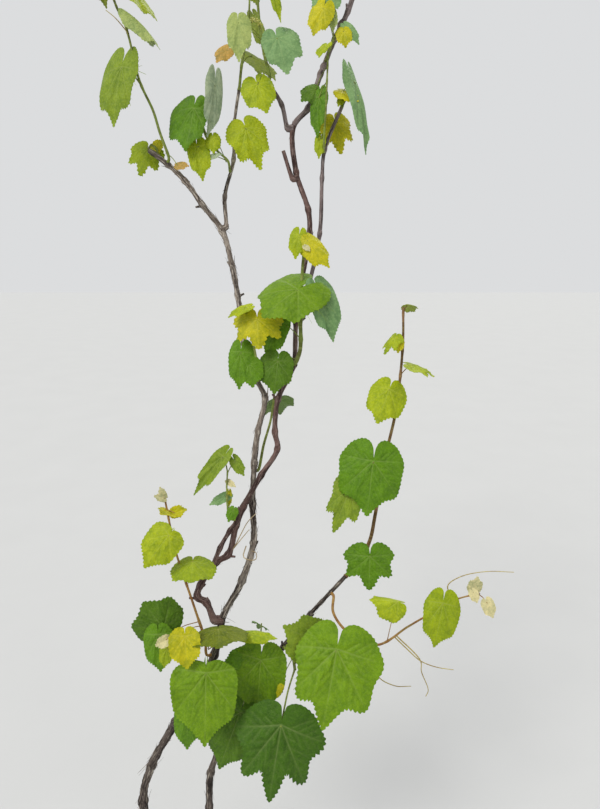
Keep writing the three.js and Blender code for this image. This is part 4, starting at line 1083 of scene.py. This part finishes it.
def veins_of(leaf, base, dice):
    """Each vein's flat line, its girth at the foot and its girth at the end."""
    lines, small = [], leaf["length"] < SMALL
    others = sorted(MAIN_VEINS + EARS)
    for angle in MAIN_VEINS[: 3 if small else 5]:
        bearing = float(lobe_turn(leaf, angle))
        reach = VEIN_REACH * float(edge_radius(base, bearing))
        lines.append((np.linspace(0.0, reach, 7)[:, None] * flat_way(bearing), 1.0, 0.3))
        if small:
            continue
        count = (6 if angle == 0 else 4) if leaf["length"] > MEDIUM else 3
        spot = others.index(angle)
        low = float(lobe_turn(leaf, max((others[spot - 1] + angle) / 2, -VEIN_END)))
        high = float(lobe_turn(leaf, min((others[spot + 1] + angle) / 2, VEIN_END)))
        for k, hand in product(range(count), (1, -1)):
            start = reach * (0.16 + 0.74 * (k + 0.3 * (hand > 0)) / count)
            turn = bearing + hand * math.radians(50 - 12 * k / count + dice.uniform(-4, 4))
            line = side_vein(base, start * flat_way(bearing), turn, hand, low, high)
            if len(line) >= FEWEST_MARKS:
                kept_marks = np.unique(np.linspace(0, len(line) - 1, 5).astype(int))
                lines.append((line[kept_marks], 0.5, 0.2))
    return lines


def distance_to(lines, spots):
    """Distance from each flat point to the nearest vein, with side veins counted a little further."""
    nearest = np.full(len(spots), np.inf)
    for line, girth, _ in lines:
        for a, b in zip(line, line[1:]):
            step = b - a
            share = np.clip(((spots - a) @ step) / max(step @ step, 1e-12), 0, 1)
            gap = np.linalg.norm(spots - a - share[:, None] * step, axis=1)
            nearest = np.minimum(nearest, gap + (SIDE_VEIN_LAG if girth < 1 else 0))
    return nearest


# %% The blade's surface
SINUS_AT, _, SINUS_DEPTH = np.array(OUTLINE).T
SHELL, SHELL_SHARE = 0.5, 0.006
CREASE = 0.05
BULGE = {"green": 0.026, "light": 0.032, "dark": 0.022, "deep": 0.024}
YOUNG_BULGE = 0.014
WAVE, WAVE_SIZE, FRILL, FRILL_SIZE = 0.07, 2.3, 0.06, 2.6
RIB_GIRTH, RIB_SHARE = 0.4, 0.0085


def lift_at(leaf, flat, lines):
    """How high each flat point stands over the blade's plane, as a share of the length."""
    reach = np.hypot(flat[:, 0], flat[:, 1])
    angle = np.abs(np.arctan2(flat[:, 1], flat[:, 0]))
    sinus = np.interp(angle, lobe_turn(leaf, SINUS_AT), SINUS_DEPTH)
    lift = RIPPLE * (sinus - 0.5) * reach - DROOP * reach**2
    gap = distance_to(lines, flat)
    height = BULGE.get(leaf["tone"], YOUNG_BULGE)
    bulge = height * (1 - np.exp(-((gap / 0.04) ** 2))) * np.clip(1.15 - reach, 0.2, 1)
    place = np.c_[flat * WAVE_SIZE, np.full(len(flat), leaf["seed"])]
    wave = WAVE * hashed_noise(place, 11) * np.minimum(reach, 0.8)
    frill = FRILL * hashed_noise(place * [FRILL_SIZE, FRILL_SIZE, 1], 12) * np.clip(reach - 0.35, 0, 1)
    curl = leaf["curl"] * flat[:, 1] ** 2 + leaf["nod"] * np.maximum(flat[:, 0], 0) ** 3
    narrow = min(1, leaf["width"] / leaf["length"])
    return lift + bulge * narrow + (wave + frill + curl) * narrow**2, gap


def placed(leaf, flat, lift):
    stretch = leaf["width"] / (leaf["length"] * WIDEST)
    return blade_point(leaf, flat[:, 0], flat[:, 1] * stretch, lift)


def shell_faces(around, steps, below):
    """The faces of a shell of rings round a middle point, and which side each shows."""
    faces, side = [], []
    for k in range(around):
        n = (k + 1) % around
        faces += [(0, 1 + k, 1 + n), (below, below + 1 + n, below + 1 + k)]
        side += [0, 1]
        a, b = 1 + k, 1 + n
        for _ in range(steps - 1):
            faces.append((a, a + around, b + around, b))
            faces.append((below + a, below + b, below + b + around, below + a + around))
            side += [0, 1]
            a, b = a + around, b + around
        faces.append((a, below + a, below + b, b))
        side.append(0)
    return faces, side


def blade_shell(leaf, dice):
    """Points, faces and numbers of one blade, and its veins as lines with their girths."""
    size = leaf["length"]
    leaf["seed"] = dice.uniform(0, 100)
    lean = dice.uniform(-0.09, 0.09)
    cut = DEEP[leaf["form"]] * dice.uniform(0.8, 1.2)
    leaf.setdefault("shape", (1 - lean, 1 + lean, dice.uniform(0.62, 1.0), dice.uniform(0.72, 1.0), cut))
    leaf["curl"], leaf["nod"] = dice.uniform(-0.24, 0.12), dice.uniform(-0.05, 0.06)
    leaf["crease"] = CREASE
    base, toothed = margin_of(leaf, int(np.clip(round(4 + size / 4.2), 6, 36)))
    lines = veins_of(leaf, base, dice)
    steps = int(np.clip(round(2 + size / 8), 3, 22))
    flats = [np.zeros((1, 2))]
    for share in np.linspace(1 / steps, 1, steps):
        edge = np.clip((share - 0.75) / 0.25, 0, 1) ** 2
        flats.append(share * (base + (toothed - base) * edge))
    flat = np.concatenate(flats)
    lift, gap = lift_at(leaf, flat, lines)
    shell = max(SHELL, SHELL_SHARE * size) / size
    points = np.concatenate([placed(leaf, flat, lift), placed(leaf, flat, lift - shell)])
    faces, side = shell_faces(len(base), steps, len(flat))
    near = np.exp(-((gap / (0.01 + 0.5 / size)) ** 2)) * np.clip(1.2 - np.hypot(*flat.T), 0.2, 1)
    numbers = {"near_vein": np.tile(near, 2), "blade_tint": np.full(len(points), dice.uniform(0, 1))}
    ribs = []
    for line, thick, thin in lines:
        rise, _ = lift_at(leaf, line, lines)
        girths = np.linspace(thick, thin, len(line)) * max(RIB_GIRTH, RIB_SHARE * size)
        ribs.append((placed(leaf, line, rise - shell / 2), girths))
    return points, faces, side, numbers, ribs


test_leaf = max((leaf for shoot in SHOOTS for leaf in shoot["made"]), key=lambda leaf: leaf["length"])
test = blade_shell(test_leaf, np.random.default_rng(5))
print("largest blade:", len(test[0]), "points,", len(test[4]), "veins")

# %% [markdown]
# ## Tubes along paths
# Green stems, leaf stalks, tendrils and veins are all round things that follow a line and taper. One
# Geometry Nodes tree makes them: it takes the lines as loose edges, turns them into curves, and sweeps
# a ring along each, scaled by the girth that every point carries.

# %% The tube tree


def named_number(tree, name, kind):
    return add(tree, "GeometryNodeInputNamedAttribute", {"Name": name}, data_type=kind)["Attribute"]


def real_and_painted(tree, geometry, finish):
    real = add(tree, "GeometryNodeRealizeInstances", {"Geometry": geometry})["Geometry"]
    return add(tree, "GeometryNodeSetMaterial", {"Geometry": real, "Material": finish})["Geometry"]


def tube_tree():
    tree, given, ends = new_tree("tube along a path", "Geometry", [
        ("Lines", "Geometry"), ("Sides", "Int", 6), ("Finish", "Material")], [("Tubes", "Geometry")])
    curves = add(tree, "GeometryNodeMeshToCurve", {"Mesh": given["Lines"]})
    profile = add(tree, "GeometryNodeCurvePrimitiveCircle", {"Resolution": given["Sides"], "Radius": 1.0})
    girth = named_number(tree, "girth", "FLOAT")
    sweep = add(tree, "GeometryNodeCurveToMesh", {
        "Curve": curves["Curve"], "Profile Curve": profile["Curve"], "Scale": girth, "Fill Caps": True})
    smooth = add(tree, "GeometryNodeSetShadeSmooth", {"Geometry": sweep["Mesh"]})["Geometry"]
    link_up(tree, ends, {"Tubes": real_and_painted(tree, smooth, given["Finish"])})
    return tree


TUBES = tube_tree()
TUBE_SQUEEZE = 0.35


def made_plain(host, tree, values):
    """Runs a Geometry Nodes tree on an object, uses the object up, and returns a plain mesh."""
    modifier = host.modifiers.new("maker", "NODES")
    modifier.node_group = tree
    for item in tree.interface.items_tree:
        if item.item_type == "SOCKET" and item.in_out == "INPUT" and item.name in values:
            modifier[item.identifier] = values[item.name]
    graph = bpy.context.evaluated_depsgraph_get()
    mesh = bpy.data.meshes.new_from_object(host.evaluated_get(graph))
    host.modifiers.remove(modifier)
    bpy.data.objects.remove(host)
    return mesh


def tubes(paths, finish, sides):
    """One mesh of tubes along paths of millimetre points with girths."""
    points = np.concatenate([path for path, _ in paths]) * MM
    girths = np.concatenate([girth for _, girth in paths]) * MM
    edges, at = [], 0
    for path, _ in paths:
        edges += [(at + i, at + i + 1) for i in range(len(path) - 1)]
        at += len(path)
    lines = bpy.data.meshes.new("lines")
    lines.from_pydata(points.tolist(), edges, [])
    give_numbers(lines, {"girth": girths, "bark_place": points * TUBE_SQUEEZE})
    return made_plain(show("lines", lines), TUBES, {"Sides": sides, "Finish": finish})


def piece_from(name, meshes):
    """Joins plain meshes into one piece."""
    parts = [show(name, mesh) for mesh in meshes]
    if len(parts) > 1:
        with bpy.context.temp_override(active_object=parts[0], selected_editable_objects=parts):
            bpy.ops.object.join()
    parts[0].name = parts[0].data.name = name
    return parts[0]


# %% [markdown]
# ## Loose bark, buds and cut ends
# Old vine bark peels in narrow strips. They are many and alike and sit on the bark's surface, so a
# Geometry Nodes tree scatters copies of one curled strip there. It turns each with the surface and
# the grain, some free at the upper end and some at the lower, and gives each its own length.

# %% Bark shreds
SHRED_ROWS = 6
SHORTEST, LONGEST = (0.008, 0.0011, 0.0014), (0.022, 0.002, 0.0028)
LOWEST_SHRED = 0.045


def one_shred():
    """A curled strip, one long, one wide and one high, that lies along X and lifts at its free end."""
    points, faces = [], []
    for i in range(SHRED_ROWS):
        s = i / (SHRED_ROWS - 1)
        wide, thick, lift = 0.5 * (1 - 0.7 * s * s), 0.13 * (1 - 0.6 * s), 1.1 * s * s - 0.1
        drift = 0.4 * s * s
        points += [(s, drift - wide, lift), (s, drift, lift + thick)]
        points += [(s, drift + wide, lift), (s, drift, lift - thick)]
    for i, k in product(range(SHRED_ROWS - 1), range(4)):
        a, b = 4 * i + k, 4 * i + (k + 1) % 4
        faces.append((a, a + 4, b + 4, b))
    faces += [(0, 1, 2, 3), tuple(4 * (SHRED_ROWS - 1) + k for k in (3, 2, 1, 0))]
    points = np.array(points)
    place = points * [2, 2, 0] * MM + [0, 0, 0.002]
    return plain_mesh("shred", points / MM, faces, [SHRED], numbers={"bark_place": place})


def shred_tree():
    tree, given, ends = new_tree("bark shreds", "Geometry", [
        ("Skin", "Geometry"), ("Shred", "Object"), ("Density", "Float", 4000.0), ("Seed", "Int", 0),
        ("Shortest", "Vector", SHORTEST), ("Longest", "Vector", LONGEST), ("Lowest", "Float", LOWEST_SHRED),
        ("Finish", "Material")], [("Shreds", "Geometry")])
    spot = add(tree, "GeometryNodeInputPosition")["Position"]
    height = add(tree, "ShaderNodeSeparateXYZ", {"Vector": spot})["Z"]
    above = add(tree, "ShaderNodeMath", {0: height, 1: given["Lowest"]}, operation="GREATER_THAN")[0]
    scatter = add(tree, "GeometryNodeDistributePointsOnFaces", {
        "Mesh": given["Skin"], "Selection": above, "Density": given["Density"], "Seed": given["Seed"]})
    sizes = {0: given["Shortest"], 1: given["Longest"], "Seed": given["Seed"]}
    size = add(tree, "FunctionNodeRandomValue", sizes, data_type="FLOAT_VECTOR")[0]
    flip = add(tree, "FunctionNodeRandomValue", {2: -1.0, 3: 1.0, "Seed": given["Seed"]})[1]
    way = add(tree, "ShaderNodeMath", {0: flip}, operation="SIGN")[0]
    grain = named_number(tree, "grain", "FLOAT_VECTOR")
    turned = add(tree, "ShaderNodeVectorMath", {0: grain, "Scale": way}, operation="SCALE")["Vector"]
    axes = {"Primary Axis": scatter["Normal"], "Secondary Axis": turned}
    turn = add(tree, "FunctionNodeAxesToRotation", axes, primary_axis="Z", secondary_axis="X")["Rotation"]
    strip = add(tree, "GeometryNodeObjectInfo", {"Object": given["Shred"]})["Geometry"]
    placed_strips = add(tree, "GeometryNodeInstanceOnPoints", {
        "Points": scatter["Points"], "Instance": strip, "Rotation": turn, "Scale": size})["Instances"]
    link_up(tree, ends, {"Shreds": real_and_painted(tree, placed_strips, given["Finish"])})
    return tree


SHREDS = shred_tree()
shred = one_shred()
# Each group of shreds: the skin that bears it, its limbs, how many a square metre, and the longest.
PEELING = [
    ("old_stem_shreds", "trunk_and_left_stem", STEM_NAMES, 7000, (0.034, 0.0032, 0.0045)),
    ("grey_cane_shreds", "grey_cane", CANE_NAMES, 9500, (0.03, 0.0028, 0.004)),
    ("right_stem_shreds", "right_stem_and_cane", RIGHT_NAMES, 6500, (0.028, 0.0026, 0.0036)),
    ("red_cane_shreds", "red_cane", RED_NAMES, 1800, (0.014, 0.0018, 0.002)),
    ("grey_branch_shreds", "grey_branch_bark", BRANCH_NAMES, 4500, (0.018, 0.002, 0.0024)),
]
for seed, (name, skin, names, density, longest) in enumerate(PEELING, 1):
    host = show("skin", skins[skin][0].data.copy())
    values = {"Shred": shred, "Density": density, "Seed": seed, "Longest": longest, "Finish": SHRED}
    piece = piece_from(name, [made_plain(host, SHREDS, values)])
    settle(piece, "bark", names)
    print(name, len(piece.data.polygons) // (4 * SHRED_ROWS - 2), "shreds")
bpy.data.objects.remove(shred)

# %% [markdown]
# Every bend of a cane is a bud's place. It carries a small cone-shaped winter bud, or the short stub
# of a shoot that was pruned off. Both are tapering tubes that start inside the wood. Where a cane
# itself was cut, a disc of pale wood closes it.

# %% Buds, stubs and cut ends
BUD_GIRTHS, STUB_GIRTHS = (2.6, 2.9, 2.2, 0.6), (3.2, 2.5, 2.3, 2.2)
BUD_REACH, STUB_REACH = (0, 1.5, 4, 7), (0, 4, 8, 12)
BUD_TURN = 160
# Each group of buds: run, limbs, finish, slot, every so many of them a stub, and where the first looks.
BUDS = [
    ("grey_cane_buds", left_run, CANE_NAMES, GREY_BARK, "bark", 3, 200),
    ("right_cane_buds", right_run, RIGHT_NAMES, OLD_BARK, "bark", 3, 20),
    ("red_cane_buds", red_run, RED_NAMES, RED_BARK, "red_bark", 3, 250),
    ("top_right_branch_buds", red_run, TOP_NAMES, MAUVE_BARK, "bark", 4, 120),
    ("slim_cane_buds", slim_cane, SLIM_NAMES, MAUVE_BARK, "bark", 4, 330),
    ("grey_branch_buds", grey_right, BRANCH_NAMES, GREY_BARK, "bark", 4, 300),
]


def bud_path(run, t, bearing, stub):
    centre, along = run["curve"].point(t), run["curve"].tangent(t)
    radius = nearest_on(run["rings"], centre)[3]
    out = square_to(heading(bearing, 0), along)
    reach, girths = (STUB_REACH, STUB_GIRTHS) if stub else (BUD_REACH, BUD_GIRTHS)
    lean = 0.85 * out + 0.5 * along if stub else 0.5 * out + 0.85 * along
    path = np.array([centre + out * radius * 0.75 + lean * step for step in reach])
    return path, np.array(girths) * min(1, radius / 5)


for name, run, names, finish, slot, every, turn in BUDS:
    last = len(run["places"]) - 1
    places = enumerate(bud_places(limbs_of(run, names)))
    paths = [bud_path(run, i / last, turn + BUD_TURN * order, order % every == every - 1)
             for order, i in places]
    settle(piece_from(name, [tubes(paths, finish, 8)]), slot, names)
    print(name, len(paths))
for name, skin, limb in (("grey_cane_cut_end", "grey_cane", "grey_cane_left_branch"),
                         ("cut_stub_cut_end", "cut_stub_bark", "cut_stub")):
    centre, along, radius, _ = skins[skin][1][-1]
    path = np.array([centre - along * 2, centre + along * 0.5])
    disc = tubes([(path, np.array([1, 1]) * radius * 0.8)], CUT_WOOD, 16)
    settle(piece_from(name, [disc]), "bark", [limb])

# %% [markdown]
# Where several buds broke together, the branch at the top keeps a thick knot. Beside the top left
# shoot stands a spur cut short, still green at its tip.

# %% Knots and a spur
KNOT_REACH, KNOT_GIRTHS = (-9, -5, -1, 3, 7, 10), (0.85, 1.12, 1.35, 1.3, 1.1, 0.85)


def knot(run, near, size):
    """A swelling round the wood: a short tube along it that is widest in the middle."""
    _, centre, along, radius = nearest_on(run["rings"], np.array(near, float))
    path = np.array([centre + along * reach * size for reach in KNOT_REACH])
    return path, np.array(KNOT_GIRTHS) * radius * size**0.5


knots = [knot(red_run, [332, 360, 1886], 1.0), knot(red_run, [300, 355, 1807], 0.8)]
knot_piece = piece_from("top_right_branch_knots", [tubes(knots, MAUVE_BARK, 16)])
settle(knot_piece, "bark", ["top_right_branch"])
spur = np.array([[183, 354, 1778], [176, 352, 1786], [169, 351, 1794], [164, 350, 1799]], float)
spur_wood = tubes([(spur[:3], np.array([3.2, 2.6, 2.4]))], MAUVE_BARK, 10)
spur_tip = tubes([(spur[2:], np.array([2.4, 2.1]))], STEMS["green"], 10)
settle(piece_from("top_left_branch_spur", [spur_wood, spur_tip]), "red_bark", ["top_left_branch"])
print("two cut ends, two knots and a spur")

# %% [markdown]
# ## Dressing the shoots
# Each shoot becomes three pieces, so that it can be lifted out whole: its blades, its veins, and its
# green stem with the stalks and tendrils. A stem swells a little where each leaf leaves it.

# %% Build every shoot
STALK_SAG, STALK_CREST = 0.12, 0.55
NODE_SWELL, NODE_WIDTH = 0.28, 5
THINNEST_STALK, STALK_SHARE = 0.75, 0.0115
TENDRIL_GIRTHS = (1.35, 0.7)
FLOWER_TURN, FLOWER_REACH = 137.5, (0, 2.2, 3.4, 4.8, 5.8)
FLOWER_GIRTHS, FLOWER_STALK = (0.4, 0.5, 1.5, 1.6, 0.4), 0.6


def stem_path(shoot):
    curve, (foot, end) = shoot["curve"], shoot["radii"]
    count = max(8, int(curve.lengths[-1] / 5))
    shares = np.linspace(0, 1, count)
    path = curve.points(curve.t_at(s * curve.lengths[-1]) for s in shares)
    girths = lerp(foot, end, shares)
    for leaf in shoot["made"]:
        gap = np.linalg.norm(path - leaf["root"], axis=1)
        girths *= 1 + NODE_SWELL * np.exp(-((gap / NODE_WIDTH) ** 2))
    inside = path[0] + unit(path[0] - path[1]) * 3.0
    girths = np.maximum(girths, foot * 0.98 * np.exp(-np.arange(count) / 6))
    girths[0] *= 1.25
    return np.concatenate([[inside], path]), np.concatenate([[girths[0]], girths])


def stalk_path(leaf):
    size = np.linalg.norm(leaf["root"] - leaf["joint"])
    middle = lerp(leaf["root"], leaf["joint"], STALK_CREST) + [0, 0, size * STALK_SAG]
    inside = leaf["joint"] + leaf["along"] * leaf["length"] * 0.03
    count = max(5, int(size / 6))
    order = np.arange(count)
    swell = 0.45 * np.exp(-order / 1.5) + 0.25 * np.exp(-order[::-1] / 1.2)
    path = Curve([leaf["root"], middle, inside]).points(np.linspace(0, 1, count))
    return path, max(THINNEST_STALK, leaf["length"] * STALK_SHARE) * (1 + swell)


def tendril_path(places, stem=None):
    if stem is not None:
        places = [stem[np.linalg.norm(stem - np.array(places[0], float), axis=1).argmin()], *places]
    curve = Curve(places)
    marks = np.linspace(0, 1, max(12, int(curve.lengths[-1] / 5)))
    return curve.points(marks), lerp(*TENDRIL_GIRTHS, marks)


def flower_path(places, count):
    """Small closed flower buds round a stalk, each a short tube that is widest in the middle."""
    stalk = Curve(places)
    paths = [(stalk.points(np.linspace(0, 1, 8)), np.full(8, FLOWER_STALK))]
    for k in range(count):
        centre, along = stalk.point(0.35 + 0.65 * k / (count - 1)), stalk.tangent(0.7)
        out = heading(FLOWER_TURN * k, 25 * math.sin(k))
        out = unit(out - 0.6 * out.dot(along) * along)
        paths.append((np.array([centre + out * reach for reach in FLOWER_REACH]), np.array(FLOWER_GIRTHS)))
    return paths


def blades_of(shoot, dice):
    """All blades of a shoot as one mesh, and their veins by tone."""
    name, tones = shoot["name"], sorted({leaf["tone"] for leaf in shoot["made"]})
    points, faces, sides, numbers, ribs, at = [], [], [], {}, {}, 0
    for order, leaf in enumerate(shoot["made"]):
        if (name, order) in OWN_SHAPE:
            leaf["shape"] = OWN_SHAPE[name, order]
        own, own_faces, own_side, own_numbers, own_ribs = blade_shell(leaf, dice)
        points.append(own)
        faces += [tuple(at + i for i in face) for face in own_faces]
        sides += [2 * tones.index(leaf["tone"]) + s for s in own_side]
        for label, values in own_numbers.items():
            numbers.setdefault(label, []).append(values)
        ribs.setdefault(leaf["tone"], []).extend(own_ribs)
        at += len(own)
    finishes = [finish[tone] for tone in tones for finish in (UPPER, UNDER)]
    numbers = {label: np.concatenate(values) for label, values in numbers.items()}
    return plain_mesh(name + "_blades", np.concatenate(points), faces, finishes, sides, numbers, 60), ribs


def stems_of(shoot):
    """The meshes of a shoot's stem, its leaf stalks, and the tendrils and flower buds that it has."""
    stem, girths = stem_path(shoot)
    stalks = [stalk_path(leaf) for leaf in shoot["made"]]
    wood = STEMS[shoot.get("wood", "green")]
    green = [tubes([(stem, girths)], wood, 12), tubes(stalks, wood, 8)]
    if "tendrils" in shoot:
        paths = [tendril_path(places, stem[1:]) for places in shoot["tendrils"]]
        green.append(tubes(paths, BARKS["tendril"], 6))
    if "dried" in shoot:
        green.append(tubes([tendril_path(places) for places in shoot["dried"]], BARKS["dried tendril"], 6))
    if "flowers" in shoot:
        green.append(tubes(flower_path(*shoot["flowers"]), BARKS["flower buds"], 6))
    return green


built = {}
for index, shoot in enumerate(SHOOTS):
    name = shoot["name"]
    blades, ribs = blades_of(shoot, np.random.default_rng(100 + index))
    veins = piece_from(name + "_veins", [tubes(own, RIBS[tone], 4) for tone, own in ribs.items()])
    stems = piece_from(name + "_stems", stems_of(shoot))
    for piece in (blades, veins, stems):
        settle(piece, "foliage", [name])
    built[name] = sum(len(piece.data.polygons) for piece in (blades, veins, stems))
print("faces on the shoots:", sum(built.values()), "most on", max(built, key=built.get))

# %% [markdown]
# ## Floor, light and camera
# The plant stands on a plain pale floor under soft light: pale air all round, a wide lamp high at the
# front left, and a weaker one high behind that lets the blades glow. The camera stands where the
# plant was seen from, a little above its middle, and looks slightly down.

# %% Floor and lamps
FLOOR_HALF = 20000
floor_finish = bpy.data.materials.new("pale floor")
floor_finish.use_nodes = True
floor_tree = floor_finish.node_tree
floor_shader = floor_tree.nodes["Principled BSDF"].inputs
cloud = noise(floor_tree, add(floor_tree, "ShaderNodeTexCoord")["Object"], 3.0, 4.0)
floor_shade = blend(floor_tree, cloud, (0.5, 0.505, 0.51, 1), (0.53, 0.535, 0.54, 1))
link_up(floor_tree, floor_shader, {"Base Color": floor_shade})
floor_shader["Roughness"].default_value = 0.9
corners = [(FLOOR_HALF * x, FLOOR_HALF * y, 0) for x, y in ((-1, -1), (1, -1), (1, 1), (-1, 1))]
floor = plain_mesh("floor", corners, [(0, 1, 2, 3)], [floor_finish])

world = bpy.data.worlds.new("studio air")
world.use_nodes = True
air = world.node_tree.nodes["Background"].inputs
air["Color"].default_value = (0.84, 0.85, 0.86, 1)
air["Strength"].default_value = 0.85
bpy.context.scene.world = world


def lamp(name, place, power, spread, colour):
    """A wide, far lamp that shines from a place towards the plant's middle."""
    data = bpy.data.lights.new(name, "SUN")
    data.energy, data.angle, data.color = power, math.radians(spread), colour
    light = show(name, data)
    light.location = place
    way = np.array([0.2, 0.1, 1.0]) - np.array(place, float)
    light.rotation_euler = (math.acos(-unit(way)[2]), 0, math.atan2(way[1], way[0]) - math.pi / 2)


lamp("key", (-1.8, -2.2, 4.2), 1.7, 25, (1, 0.98, 0.92))
lamp("glow", (1.2, 2.6, 3.8), 1.1, 30, (1, 0.98, 0.92))
print("floor and two lamps")

# %% Camera
PITCH = 14.53
camera_data = bpy.data.cameras.new("camera")
camera_data.sensor_width, camera_data.lens = 36, 26.7
camera = show("camera", camera_data)
camera.location = (0.25, -1.0, 1.45)
camera.rotation_euler = (math.radians(90 - PITCH), 0, 0)
bpy.context.scene.camera = camera
bpy.context.scene.view_settings.view_transform = "Standard"
